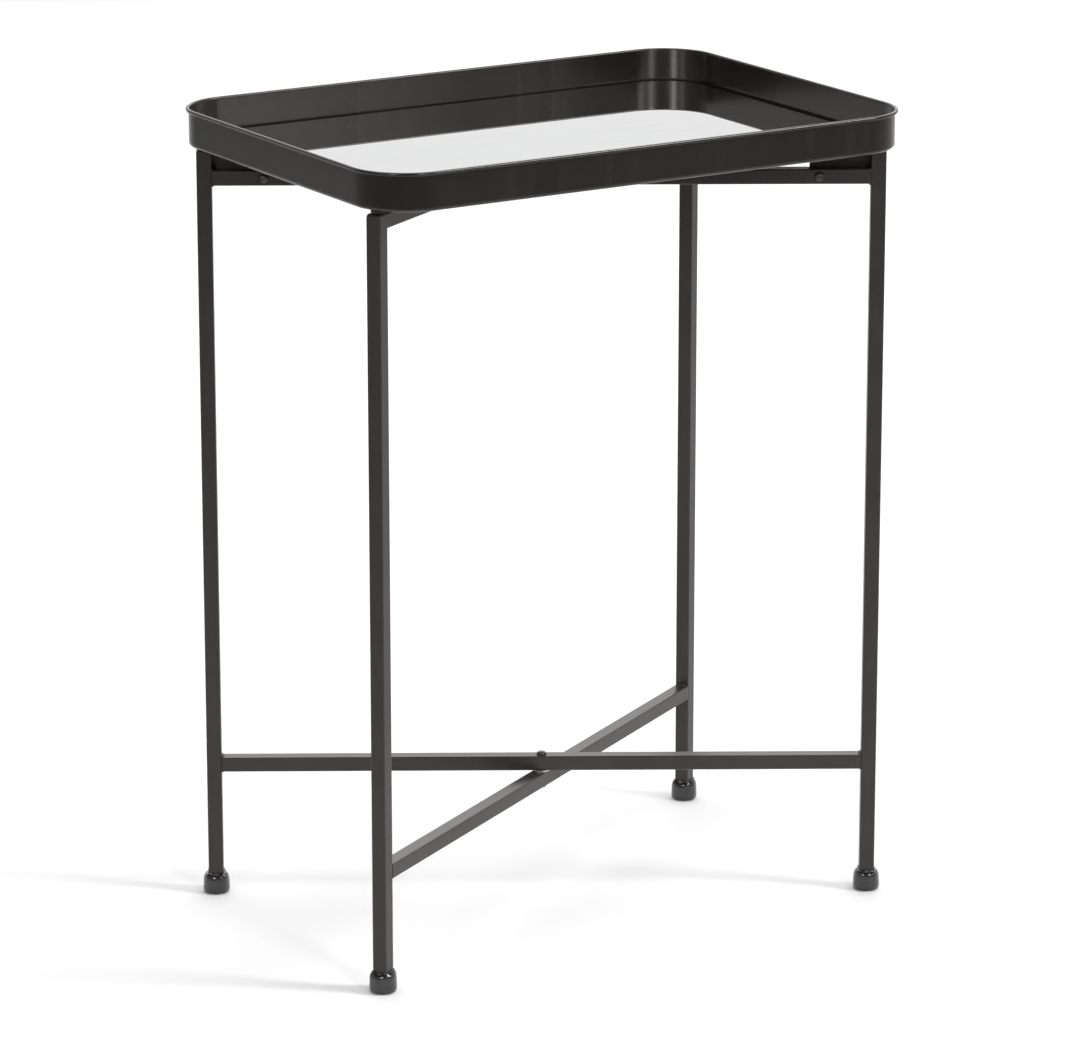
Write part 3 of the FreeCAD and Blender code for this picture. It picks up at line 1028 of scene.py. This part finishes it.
@dataclass
class Workshop:
    """What every sub-assembly needs: the finishes and the two shape groups."""

    finishes: Finishes = field(default_factory=Finishes)
    sweep: ShapeTree = field(default_factory=sweep_tree)
    weld: ShapeTree = field(default_factory=weld_tree)

    def turned(
        self, name: str, section: Sequence[Point], material: bpy.types.Material, steps: int
    ) -> bpy.types.Mesh:
        """Turn a section about the Z axis.

        Args:
            name: The mesh's name.
            section: Radius and height of each point, from the upper axis round to the lower.
            material: The finish.
            steps: Points round each ring.

        Returns:
            The closed turned mesh.
        """
        unit = 1.0 * MM
        seed = section_mesh(name + "_section", [(r - unit, z) for r, z in section])
        return self.sweep.grow(
            name, seed, material,
            {"Length": 2 * unit, "Width": 2 * unit, "Corner Radius": unit, "Path Steps": steps,
             "Section Points": len(section)},
        )


# ------------------------------------------------------------------ tray
@dataclass
class TrayAssembly:
    """Pressed steel tray with a rolled rim, and the mirror that lies in it.

    The wall's rows are heights above the bend at its foot.  The mirror's margin is the clear band
    outside its silvering.
    """

    shop: Workshop
    sheet: float = 0.9 * MM
    bend_radius: float = 3.0 * MM
    curl_radius: float = 1.6 * MM
    curl_turn: float = 250.0
    corner_radius: float = 45.0 * MM
    floor_lap: float = 1.5 * MM
    wall_rows: Sequence[float] = (0.4 * MM, 5 * MM, 12 * MM, 19 * MM)
    row_below_curl: float = 0.6 * MM
    path_steps: int = 640
    waviness: float = 0.05 * MM
    wave_size: float = 45.0 * MM
    mirror_bevel: float = 0.6 * MM
    mirror_corner: float = 39.1 * MM
    mirror_margin: float = 1.9 * MM
    margin_reach: float = 1.1
    mirror_ease: float = 0.25 * MM
    mirror_lap: float = 3.0 * MM

    def build(self) -> None:
        """Make the tray's pieces."""
        self.pan()
        self.mirror()
        dress("mirror_tape", self.shop.finishes.foam)

    def pan_section(self, bottom: float, top: float) -> list[Point]:
        """Section of the sheet: x is outwards from the wall's outside.

        Args:
            bottom: Height of the underside of the floor.
            top: Height of the top of the rim.

        Returns:
            The outline from the floor's upper face round to its underside.
        """
        bore = self.curl_radius - self.sheet
        curl = (bore, top - self.curl_radius)
        bend = (-self.bend_radius, bottom + self.bend_radius)
        last = 180.0 - self.curl_turn
        heights = [bend[1] + row for row in self.wall_rows] + [curl[1] - self.row_below_curl]
        start = -self.bend_radius - self.floor_lap
        outline = [(start, bottom + self.sheet)]
        outline += arc(bend, self.bend_radius - self.sheet, -90, 0, 8)
        outline += [(-self.sheet, z) for z in heights]
        outline += arc(curl, self.curl_radius, 180, last, 26)
        outline += arc(curl, bore, last, 180, 14)
        outline += [(0.0, z) for z in reversed(heights)]
        outline += arc(bend, self.bend_radius, 0, -90, 10)
        outline.append((start, bottom))
        return outline

    def pan(self) -> None:
        """Sweep the sheet's section round the tray."""
        low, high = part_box("tray_pan")
        overhang = 2 * self.curl_radius - self.sheet
        section = self.pan_section(low.z, high.z)
        mesh = self.shop.sweep.grow(
            "tray_sheet", section_mesh("tray_section", section), self.shop.finishes.tray,
            {"Length": high.x - low.x - 2 * overhang, "Width": high.y - low.y - 2 * overhang,
             "Corner Radius": self.corner_radius, "Path Steps": self.path_steps,
             "Section Points": len(section), "Waviness": self.waviness, "Wave Size": self.wave_size,
             "Wave Foot": low.z + self.bend_radius, "Wave Head": high.z - 2 * self.curl_radius,
             "Seed": 4},
        )
        hang(mesh, "tray_sheet", Body.TRAY, Slot.TRAY_PAINT, "tray_pan")

    def mirror_section(self, bottom: float, top: float) -> list[Point]:
        """Section of the mirror's rim.

        Args:
            bottom: Height of its underside.
            top: Height of its face.

        Returns:
            The face, a clear margin, a ground bevel, the edge, a slightly eased foot and the back.
        """
        bevel, ease, lap = self.mirror_bevel, self.mirror_ease, self.mirror_lap
        return [
            (-lap, top), (-self.mirror_margin, top), (-bevel - 0.12 * MM, top),
            (-bevel, top - 0.015 * MM), (-0.05 * MM, top - bevel + 0.05 * MM),
            (0.0, top - bevel - 0.1 * MM), (0.0, bottom + ease + 0.1 * MM),
            (-0.03 * MM, bottom + ease), (-ease, bottom + 0.03 * MM), (-ease - 0.1 * MM, bottom),
            (-lap, bottom),
        ]

    def mirror(self) -> None:
        """Make the mirror: silvered face, clear margin and rim, and lacquered back."""
        low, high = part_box("mirror_glass")
        finishes = self.shop.finishes
        section = self.mirror_section(low.z, high.z)
        mesh = self.shop.sweep.grow(
            "mirror_plate", section_mesh("mirror_section", section), finishes.silver,
            {"Length": high.x - low.x, "Width": high.y - low.y, "Corner Radius": self.mirror_corner,
             "Path Steps": self.path_steps, "Section Points": len(section)},
        )
        mesh.materials.append(finishes.edge)
        mesh.materials.append(finishes.backing)
        rim, back = 1, 2
        flat_x = (high.x - low.x) / 2 - self.mirror_corner
        flat_y = (high.y - low.y) / 2 - self.mirror_corner
        silvered = self.mirror_corner - self.margin_reach * self.mirror_margin
        for face in mesh.polygons:
            reach_x = max(abs(face.center.x) - flat_x, 0.0)
            reach_y = max(abs(face.center.y) - flat_y, 0.0)
            a_cap = len(face.vertices) > 4
            outside = math.hypot(reach_x, reach_y) > silvered and not a_cap
            if face.normal.z < -LEVEL_FACE:
                face.material_index = back
            elif face.normal.z < LEVEL_FACE or outside:
                face.material_index = rim
        hang(mesh, "mirror_plate", Body.TRAY, Slot.MIRROR, "mirror_glass")


# ------------------------------------------------------------------ feet and rivets
@dataclass
class FootCap:
    """Moulded vinyl cap over the end of a leg: square mouth, round barrel, flat sole."""

    shop: Workshop
    radius: float = 10.9 * MM
    height: float = 17.5 * MM
    socket_half: float = 6.0 * MM
    socket_corner: float = 1.0 * MM
    ring_points: int = 64
    lump_depth: float = 0.10 * MM
    lumps_round: int = 3
    lump_twist: float = 300.0
    lump_rise: float = 200.0
    seed_step: float = 1.7

    def profile(self) -> list[tuple[float, float, float]]:
        """Radius, height and squareness of each ring, from the sole up and into the mouth."""
        r, h = self.radius, self.height
        mouth = self.socket_half
        return [
            (r * 0.30, 0.35 * MM, 0.0), (r * 0.55, 0.30 * MM, 0.0), (r * 0.60, 0.02 * MM, 0.0),
            (r - 3.2 * MM, 0.0, 0.0), (r - 2.5 * MM, 0.0, 0.0), (r - 1.6 * MM, 0.22 * MM, 0.0),
            (r - 0.85 * MM, 0.75 * MM, 0.0), (r - 0.30 * MM, 1.65 * MM, 0.0),
            (r - 0.05 * MM, 2.8 * MM, 0.0), (r, 4.0 * MM, 0.0), (r - 0.08 * MM, 6.0 * MM, 0.02),
            (r - 0.22 * MM, 8.5 * MM, 0.04), (r - 0.38 * MM, 11.0 * MM, 0.08),
            (r - 0.62 * MM, 12.8 * MM, 0.12),
            (r - 1.05 * MM, 14.2 * MM, 0.18), (r - 1.8 * MM, 15.5 * MM, 0.28),
            (r - 2.75 * MM, 16.4 * MM, 0.42), (r - 3.5 * MM, 17.0 * MM, 0.62),
            (mouth + 1.15 * MM, h - 0.12 * MM, 0.86), (mouth + 0.75 * MM, h, 1.0),
            (mouth + 0.35 * MM, h - 0.05 * MM, 1.0), (mouth + 0.04 * MM, h - 0.5 * MM, 1.0),
            (mouth, h - 2.0 * MM, 1.0), (mouth - 0.4 * MM, h - 2.2 * MM, 1.0),
        ]

    def ring(
        self, size: float, height: float, squareness: float, plane: FramePlane, side: int, seed: float
    ) -> list[Vector]:
        """One ring between a circle and a rounded square.

        Args:
            size: Half width of the ring.
            height: Height above the floor.
            squareness: Nought for a circle and one for the tube's outline.
            plane: The frame's plane.
            side: The end of the frame.
            seed: Turns the lumps, so that the caps differ.

        Returns:
            The ring's points in place.
        """
        corner = self.socket_corner
        reach = size - corner
        swell = self.lump_depth * math.sin(self.lump_rise * height + seed) * (1 - squareness)
        points = []
        for index in range(self.ring_points):
            turn = 2 * math.pi * (index + 0.5) / self.ring_points
            c, s = math.cos(turn), math.sin(turn)
            scale = 1.0 / max(abs(c), abs(s))
            x, y = size * scale * c, size * scale * s
            over_x, over_y = abs(x) - reach, abs(y) - reach
            if over_x > 0 and over_y > 0:
                lean = math.hypot(over_x, over_y)
                x = math.copysign(reach + over_x * corner / lean, x)
                y = math.copysign(reach + over_y * corner / lean, y)
            phase = self.lumps_round * turn + seed + self.lump_twist * height
            round_size = size + swell * math.sin(phase)
            u = squareness * x + (1 - squareness) * round_size * c
            v = squareness * y + (1 - squareness) * round_size * s
            points.append(plane.at(side * plane.leg_radius + u, v, height))
        return points

    def build(self, end: End, plane: FramePlane, body: Body) -> None:
        """Make the cap of one leg."""
        name = end.label + "_foot_cap"
        seed = self.seed_step * end.value
        rings = [self.ring(r, z, q, plane, end.side, seed) for r, z, q in self.profile()]
        mesh = lofted(name, rings, [0.0] * self.ring_points, self.shop.finishes.vinyl)
        hang(mesh, name, body, Slot.FOOT, "foot_cap_" + end.label)


@dataclass
class RivetMaker:
    """Rivets: a set dome at one end, and a dome or a flat tail at the other."""

    shop: Workshop
    flange: float = 0.35 * MM
    set_mark: float = 1.1 * MM
    crown_share: float = 1.15
    dome_steps: int = 9
    ring_points: int = 48

    def dome(self, radius: float, height: float) -> list[Point]:
        """Upper half of a head: shallow set mark on the crown, dome and a thin flange."""
        mark, edge = self.set_mark, self.set_mark * self.crown_share
        crown = [(0.15 * MM, height - 0.22 * MM), (mark * 0.6, height - 0.20 * MM),
                 (mark * 0.9, height - 0.06 * MM), (edge, height - 0.02 * MM)]
        body = []
        for step in range(1, self.dome_steps + 1):
            turn = QUARTER * step / self.dome_steps
            z = self.flange + (height - 0.04 * MM - self.flange) * math.cos(turn) ** 0.9
            body.append((edge + (radius - edge) * math.sin(turn), z))
        skirt = [(radius + 0.02 * MM, self.flange * 0.5), (radius - 0.05 * MM, 0.02 * MM)]
        return crown + body + skirt

    def section(self, shank: float, grip: float, head: Point, tail: Point) -> list[Point]:
        """Whole rivet from the crown of its head to the crown of its tail.

        Args:
            shank: Radius of the shank.
            grip: Thickness of what it holds.
            head: Radius and height of the head, above z = 0.
            tail: Radius and height of the tail, below z = -grip.

        Returns:
            The section to be turned.
        """
        upper = self.dome(*head) + [(head[0] - 0.1 * MM, 0.0), (shank, 0.0)]
        lower = [(r, -grip - z) for r, z in reversed(self.dome(*tail))]
        return upper + [(shank, -grip), (tail[0] - 0.1 * MM, -grip)] + lower

    def paint_crown_highlight(self, mesh: bpy.types.Mesh, head: Point) -> bpy.types.Mesh:
        """Mark the crown of the head for its painted highlight, full at the top."""
        layer = mesh.attributes.new("painted_highlight", "FLOAT", "POINT")
        for point, store in zip(mesh.vertices, layer.data):
            store.value = max(0.0, min(1.0, point.co.z / head[1]))
        return mesh

    def make(self, name: str, shank: float, grip: float, head: Point, tail: Point) -> bpy.types.Mesh:
        """Turn one rivet, head up with its seat at z = 0."""
        section = self.section(shank, grip, head, tail)
        mesh = self.shop.turned(name, section, self.shop.finishes.rivet, self.ring_points)
        return self.paint_crown_highlight(mesh, head)


# ------------------------------------------------------------------ stand
@dataclass
class CrossFrame:
    """One frame of the stand: two legs, two bars, their welds, feet and pads.

    The sawn end of a leg is given as rings: how far each is below the top, and how far drawn in.
    """

    shop: Workshop
    body: Body = Body.FIXED
    ends: tuple[End, End] = (End.FRONT, End.BACK)
    tube: float = 12.0 * MM
    ring: SquareRing = SquareRing()
    socket_floor: float = 3.0 * MM
    end_ring: float = 1.0 * MM
    sawn_end: Sequence[Point] = ((1.5 * MM, 0.0), (0.5 * MM, 0.0), (0.12 * MM, 0.15 * MM), (0.0, 0.5 * MM))
    joint_bead: float = 1.9 * MM
    bead_sink: float = 0.25 * MM
    bead_from_edge: float = 0.9 * MM
    bead_taper: float = 0.5
    bead_steps: int = 4
    first_seed: int = 5
    bead_lines: list[tuple[list[Vector], list[float]]] = field(default_factory=list)

    def __post_init__(self) -> None:
        """Find the frame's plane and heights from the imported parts."""
        self.plane = plane_through("leg_" + self.ends[1].label)
        self.leg_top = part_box("leg_" + self.ends[0].label)[1].z
        self.bar_half = self.plane.leg_radius - self.tube / 2
        self.frame_half = self.plane.leg_radius + self.tube / 2

    # ------------------------------------------------------------ tubes
    def level_rings(self, u0: float, u1: float, underside: float) -> list[list[Vector]]:
        """Rings of a bar between two places along the frame."""
        middle = underside + self.tube / 2
        rings = []
        for u in (u0, u0 + self.end_ring, 0.0, u1 - self.end_ring, u1):
            rings.append([self.plane.at(u, a, middle + b) for a, b in self.ring.outline()])
        return rings

    def bar(self, name: str, node: str) -> float:
        """Make a bar that is welded between the legs.

        Args:
            name: The piece's name.
            node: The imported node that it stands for.

        Returns:
            Height of the bar's underside.
        """
        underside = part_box(node)[0].z
        rings = self.level_rings(-self.bar_half, self.bar_half, underside)
        mesh = lofted(name, rings, self.ring.highlights(), self.shop.finishes.frame)
        hang(mesh, name, self.body, Slot.FRAME_PAINT, node)
        for side in SIDES:
            self.add_joint_beads(side, underside)
        return underside

    def leg_rings(self, side: int) -> list[list[Vector]]:
        """Rings of a leg from inside its foot cap to its top."""
        centre = side * self.plane.leg_radius
        places = [(self.socket_floor, 0.0), (self.socket_floor + self.end_ring, 0.0)]
        places += [(self.leg_top - drop, inset) for drop, inset in self.sawn_end]
        rings = []
        for z, inset in places:
            rings.append([self.plane.at(centre + a, b, z) for a, b in self.ring.outline(inset)])
        return rings

    def legs(self) -> None:
        """Make both legs, their feet and their pads."""
        foot = FootCap(self.shop)
        for end in self.ends:
            name = end.label + "_leg_tube"
            mesh = lofted(name, self.leg_rings(end.side), self.ring.highlights(), self.shop.finishes.frame)
            hang(mesh, name, self.body, Slot.FRAME_PAINT, "leg_" + end.label)
            foot.build(end, self.plane, self.body)
            dress("tray_pad_" + end.label, self.shop.finishes.rubber)

    # ------------------------------------------------------------ welds
    def add_joint_beads(self, side: int, underside: float) -> None:
        """Note the beads above and below one end of a bar, whose sides are ground flush."""
        half = self.tube / 2
        place = side * (self.bar_half - self.bead_sink)
        shares = [k / self.bead_steps for k in range(-self.bead_steps, self.bead_steps + 1)]
        radii = [self.joint_bead * (1.0 - self.bead_taper * share ** 2) for share in shares]
        for level in SIDES:
            height = underside + half + level * (half - self.bead_sink)
            reach = half - self.bead_from_edge
            points = [self.plane.at(place, share * reach, height) for share in shares]
            self.bead_lines.append((points, radii))

    def welds(self, name: str) -> None:
        """Lay every noted bead, as one piece."""
        mesh = bpy.data.meshes.new(name + "_lines")
        points, edges, radii = [], [], []
        for line, sizes in self.bead_lines:
            first = len(points)
            points += line
            radii += sizes
            edges += [(first + i, first + i + 1) for i in range(len(line) - 1)]
        mesh.from_pydata(points, edges, [])
        layer = mesh.attributes.new("bead_radius", "FLOAT", "POINT")
        layer.data.foreach_set("value", radii)
        seed = self.first_seed + len(self.bead_lines)
        bead = self.shop.weld.grow(name, mesh, self.shop.finishes.frame, {"Seed": seed})
        hang(bead, name, self.body, Slot.FRAME_PAINT)


@dataclass
class FixedFrame(CrossFrame):
    """Outer frame: its top bar is mitred into the legs, and both its bars carry the pivots.

    A mitre bead is given as points: how far each is across the tube, and the bead's radius there.
    """

    ground_radius: float = 3.0 * MM
    fan_degrees: Sequence[float] = (3, 12, 24, 34, 37, 38.6, 40.2, 41.8, 43.4, 45)
    mitre_bead: Sequence[Point] = (
        (-4.6 * MM, 0.9 * MM), (-2.5 * MM, 1.5 * MM), (0.0, 1.6 * MM), (2.5 * MM, 1.5 * MM),
        (4.6 * MM, 0.9 * MM),
    )
    mitre_sink: float = 0.2 * MM
    pin_radius: float = 2.5 * MM
    lower_head: Point = (4.0 * MM, 2.8 * MM)
    upper_head: Point = (4.0 * MM, 2.2 * MM)

    def build(self) -> None:
        """Make the frame's pieces."""
        self.legs()
        self.top_bar()
        self.bar("fixed_lower_tube", "fixed_lower_bar")
        self.mitre_beads()
        self.welds("fixed_frame_welds")
        self.pivots()

    def outer_reach(self, fan: float) -> float:
        """Distance from the inside of the mitre to the ground outside.

        Args:
            fan: Angle from level, in radians, at most an eighth of a turn.

        Returns:
            The distance.
        """
        straight = self.tube / math.cos(fan)
        flat = self.tube - self.ground_radius
        if straight * math.sin(fan) <= flat:
            return straight
        along = flat * (math.cos(fan) + math.sin(fan))
        return along + math.sqrt(max(along ** 2 - 2 * flat ** 2 + self.ground_radius ** 2, 0.0))

    def mitre_ring(self, side: int, fan: float, upright: bool) -> list[Vector]:
        """Ring of the mitred corner.

        Args:
            side: The end of the frame.
            fan: Angle that the ring is turned towards the mitre, in radians.
            upright: True on the leg's side of the mitre and False on the bar's.

        Returns:
            The ring's points.
        """
        inner_u, inner_z = self.frame_half - self.tube, self.leg_top - self.tube
        stretch = self.outer_reach(fan) / self.tube
        points = []
        for a, b in self.ring.outline():
            depth = (a + self.tube / 2) * stretch
            out, up = depth * math.cos(fan), depth * math.sin(fan)
            if not upright:
                out, up = up, out
            points.append(self.plane.at(side * (inner_u + out), b, inner_z + up))
        return points

    def fan_angles(self) -> list[float]:
        """Angles of the rings between the square end of a run and the mitre."""
        return [math.radians(angle) for angle in self.fan_degrees]

    def leg_rings(self, side: int) -> list[list[Vector]]:
        """Rings of a leg from inside its foot cap to the mitre."""
        centre = side * self.plane.leg_radius
        foot, head = self.socket_floor, self.leg_top - self.tube
        rings = []
        for z in (foot, foot + self.end_ring, head - self.end_ring, head):
            rings.append([self.plane.at(centre + side * a, b, z) for a, b in self.ring.outline()])
        return rings + [self.mitre_ring(side, fan, True) for fan in self.fan_angles()]

    def top_bar(self) -> None:
        """Make the mitred top bar."""
        inner = self.frame_half - self.tube
        middle = self.leg_top - self.tube / 2
        fan = self.fan_angles()
        rings = [self.mitre_ring(-1, angle, False) for angle in reversed(fan)]
        for u in (-inner, -inner + self.end_ring, inner - self.end_ring, inner):
            rings.append([self.plane.at(u, b, middle + a) for a, b in self.ring.outline()])
        rings += [self.mitre_ring(1, angle, False) for angle in fan]
        mesh = lofted("fixed_top_tube", rings, self.ring.highlights(), self.shop.finishes.frame)
        hang(mesh, "fixed_top_tube", self.body, Slot.FRAME_PAINT, "fixed_top_bar")

    def mitre_beads(self) -> None:
        """Note the short bead in the inner corner of each mitre."""
        place = self.frame_half - self.tube - self.mitre_sink
        height = self.leg_top - self.tube - self.mitre_sink
        for side in SIDES:
            points = [self.plane.at(side * place, across, height) for across, _ in self.mitre_bead]
            self.bead_lines.append((points, [radius for _, radius in self.mitre_bead]))

    def pivots(self) -> None:
        """Make the two rivets that the swing frame turns on, and dress their washers."""
        rivets = RivetMaker(self.shop)
        for name, node, head in (
            ("lower_pivot_pin", "lower_pivot_rivet", self.lower_head),
            ("upper_pivot_pin", "upper_pivot_rivet", self.upper_head),
        ):
            low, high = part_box(node)
            grip = high.z - low.z - 2 * head[1]
            mesh = rivets.make(name, self.pin_radius, grip, head, head)
            for point in mesh.vertices:
                point.co.z += high.z - head[1]
            hang(mesh, name, self.body, Slot.RIVET, node)
        dress("lower_pivot_washer", self.shop.finishes.zinc)
        dress("upper_pivot_spacer", self.shop.finishes.zinc)


@dataclass
class SwingFrame(CrossFrame):
    """Inner frame that turns on the pivots: its top bar carries the riveted brackets."""

    body: Body = Body.SWING
    ends: tuple[End, End] = (End.LEFT, End.RIGHT)
    rivet_from_end: float = 41.0 * MM
    rivet_shank: float = 2.0 * MM
    rivet_head: Point = (3.75 * MM, 2.4 * MM)
    rivet_tail: Point = (3.0 * MM, 1.2 * MM)
    bracket_sheet: float = 1.5 * MM
    bracket_bead: Sequence[float] = (0.8 * MM, 1.1 * MM, 1.2 * MM, 1.1 * MM, 0.8 * MM)
    bracket_bead_pitch: float = 5.0 * MM
    bracket_bead_foot: float = 4.0 * MM
    bracket_bead_out: float = 8.0 * MM
    bracket_bead_gap: float = 0.3 * MM

    def build(self) -> None:
        """Make the frame's pieces."""
        self.legs()
        upper = self.bar("swing_top_tube", "swing_top_bar")
        self.bar("swing_lower_tube", "swing_lower_bar")
        self.bracket_beads(upper)
        self.welds("swing_frame_welds")
        self.brackets(upper)

    def bracket_beads(self, underside: float) -> None:
        """Note the bead that holds each bracket's web behind its leg."""
        bottom = underside + self.bracket_bead_foot
        back = self.tube / 2 + self.bracket_bead_gap
        for side in SIDES:
            u = side * (self.bar_half + self.bracket_bead_out)
            points = []
            for step in range(len(self.bracket_bead)):
                points.append(self.plane.at(u, back, bottom + step * self.bracket_bead_pitch))
            self.bead_lines.append((points, list(self.bracket_bead)))

    def brackets(self, underside: float) -> None:
        """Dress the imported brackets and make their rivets."""
        rivets = RivetMaker(self.shop)
        grip = self.tube + self.bracket_sheet
        for end in self.ends:
            dress("tray_bracket_" + end.label, self.shop.finishes.frame)
            name = end.label + "_bracket_rivet"
            mesh = rivets.make(name, self.rivet_shank, grip, self.rivet_head, self.rivet_tail)
            u = end.side * (self.bar_half - self.rivet_from_end)
            for point in mesh.vertices:
                x, y, z = point.co
                point.co = self.plane.at(u + x, -self.tube / 2 - z, underside + self.tube / 2 + y)
            mesh.update()
            hang(mesh, name, self.body, Slot.RIVET, "bracket_rivet_" + end.label)


# ------------------------------------------------------------------ studio
@dataclass(frozen=True)
class Softbox:
    """Rectangular studio light: aimed at a point, or straight down and turned in degrees."""

    name: str
    place: tuple[float, float, float]
    width: float
    height: float
    power: float
    aim: Optional[tuple[float, float, float]] = None
    turn: float = 0.0
    spread: float = 180.0

    def make(self) -> None:
        """Hang the light."""
        lamp = bpy.data.lights.new(self.name, "AREA")
        lamp.shape = "RECTANGLE"
        lamp.size, lamp.size_y = self.width, self.height
        lamp.energy = self.power
        lamp.spread = math.radians(self.spread)
        holder = bpy.data.objects.new(self.name, lamp)
        holder.location = self.place
        holder.rotation_euler = (0.0, 0.0, math.radians(self.turn))
        if self.aim is not None:
            look = Vector(self.aim) - Vector(self.place)
            holder.rotation_euler = look.to_track_quat("-Z", "Y").to_euler()
        holder.visible_camera = False
        bpy.context.scene.collection.objects.link(holder)


@dataclass
class Studio:
    """Pale floor, soft light from above and behind, and the camera."""

    camera_place: tuple[float, float, float] = (-2.13616, -3.46175, 1.44133)
    camera_turn: float = -31.66
    camera_tilt: float = 15.58
    lens: float = 175.43
    sensor: float = 36.0
    view_reach: float = 200.0
    floor_half: float = 40.0
    sky_bright: float = 0.95
    sky_dim: float = 0.4
    sky_top: float = 0.1
    sky_lean: float = 0.25
    sky_side: Point = (-0.2, 0.75)
    sky_upper: Point = (0.3, 0.6)

    def build(self) -> None:
        """Make the camera, the floor, the sky and the lights."""
        self.camera()
        self.floor()
        self.sky()
        for box in self.softboxes():
            box.make()
        bpy.context.scene.view_settings.view_transform = "Standard"

    def camera(self) -> None:
        """Place the camera level with the view and make it the scene's."""
        data = bpy.data.cameras.new("studio_camera")
        data.lens = self.lens
        data.sensor_width = self.sensor
        data.clip_end = self.view_reach
        holder = bpy.data.objects.new("studio_camera", data)
        holder.location = self.camera_place
        holder.rotation_euler = (
            math.radians(90 - self.camera_tilt), 0.0, math.radians(self.camera_turn)
        )
        bpy.context.scene.collection.objects.link(holder)
        bpy.context.scene.camera = holder

    def floor(self) -> None:
        """Lay the floor that the feet stand on."""
        half = self.floor_half
        mesh = bpy.data.meshes.new("studio_floor")
        corners = [(-half, -half, 0.0), (half, -half, 0.0), (half, half, 0.0), (-half, half, 0.0)]
        mesh.from_pydata(corners, [], [(0, 1, 2, 3)])
        mesh.materials.append(PaleFloor().make())
        floor = bpy.data.objects.new("studio_floor", mesh)
        bpy.context.scene.collection.objects.link(floor)

    def sky(self) -> None:
        """Light the room from all round: bright behind the table, dimmer towards the camera."""
        world = bpy.data.worlds.new("studio_sky")
        world.use_nodes = True
        bpy.context.scene.world = world
        sky = Graph(world.node_tree)
        heading = sky.add("ShaderNodeTexCoord").out("Generated")
        turn = math.radians(self.camera_turn)
        behind = (-math.sin(turn), math.cos(turn), self.sky_lean)
        facing = sky.vector("DOT_PRODUCT", heading, behind).out("Value")
        _, _, up = sky.parts(heading)
        level = self.sky_dim + (self.sky_bright - self.sky_dim) * facing.smooth(*self.sky_side)
        top = up.smooth(*self.sky_upper)
        strength = level * (1.0 - top) + self.sky_top * top
        light = sky.add(
            "ShaderNodeBackground", {}, {"Color": (1.0, 1.0, 1.0, 1.0), "Strength": strength}
        )
        sky.add("ShaderNodeOutputWorld", {}, {"Surface": light})

    def softboxes(self) -> list[Softbox]:
        """The studio's lights: a large one overhead, and narrow ones in front for the edges."""
        tray = (0.0, 0.0, 0.62)
        return [
            Softbox("overhead", (1.88, 2.28, 2.2), 3.7, 7.2, 152.0, turn=self.camera_turn),
            Softbox("key_right", (1.75, -1.9, 1.95), 0.6, 2.2, 4.9, (-0.4, -0.2, 0.0), spread=38.0),
            Softbox("key_strip", (-0.1, -3.0, 1.95), 0.6, 1.7, 1.7, tray, spread=30.0),
            Softbox("side_strip", (1.05, -2.65, 1.5), 0.8, 1.1, 0.33, tray, spread=32.0),
            Softbox("fill_strip", (-2.41, -1.79, 1.75), 0.45, 1.5, 1.1, tray, spread=30.0),
            Softbox("edge_strip", (-2.9, -0.83, 1.6), 0.3, 1.2, 0.14, tray, spread=30.0),
        ]


def main() -> None:
    """Build the studio and the table, one sub-assembly after another."""
    logging.basicConfig(level=logging.INFO, format="%(name)s: %(message)s")
    Studio().build()
    shop = Workshop()
    TrayAssembly(shop).build()
    FixedFrame(shop).build()
    SwingFrame(shop).build()


if __name__ == "__main__":
    main()
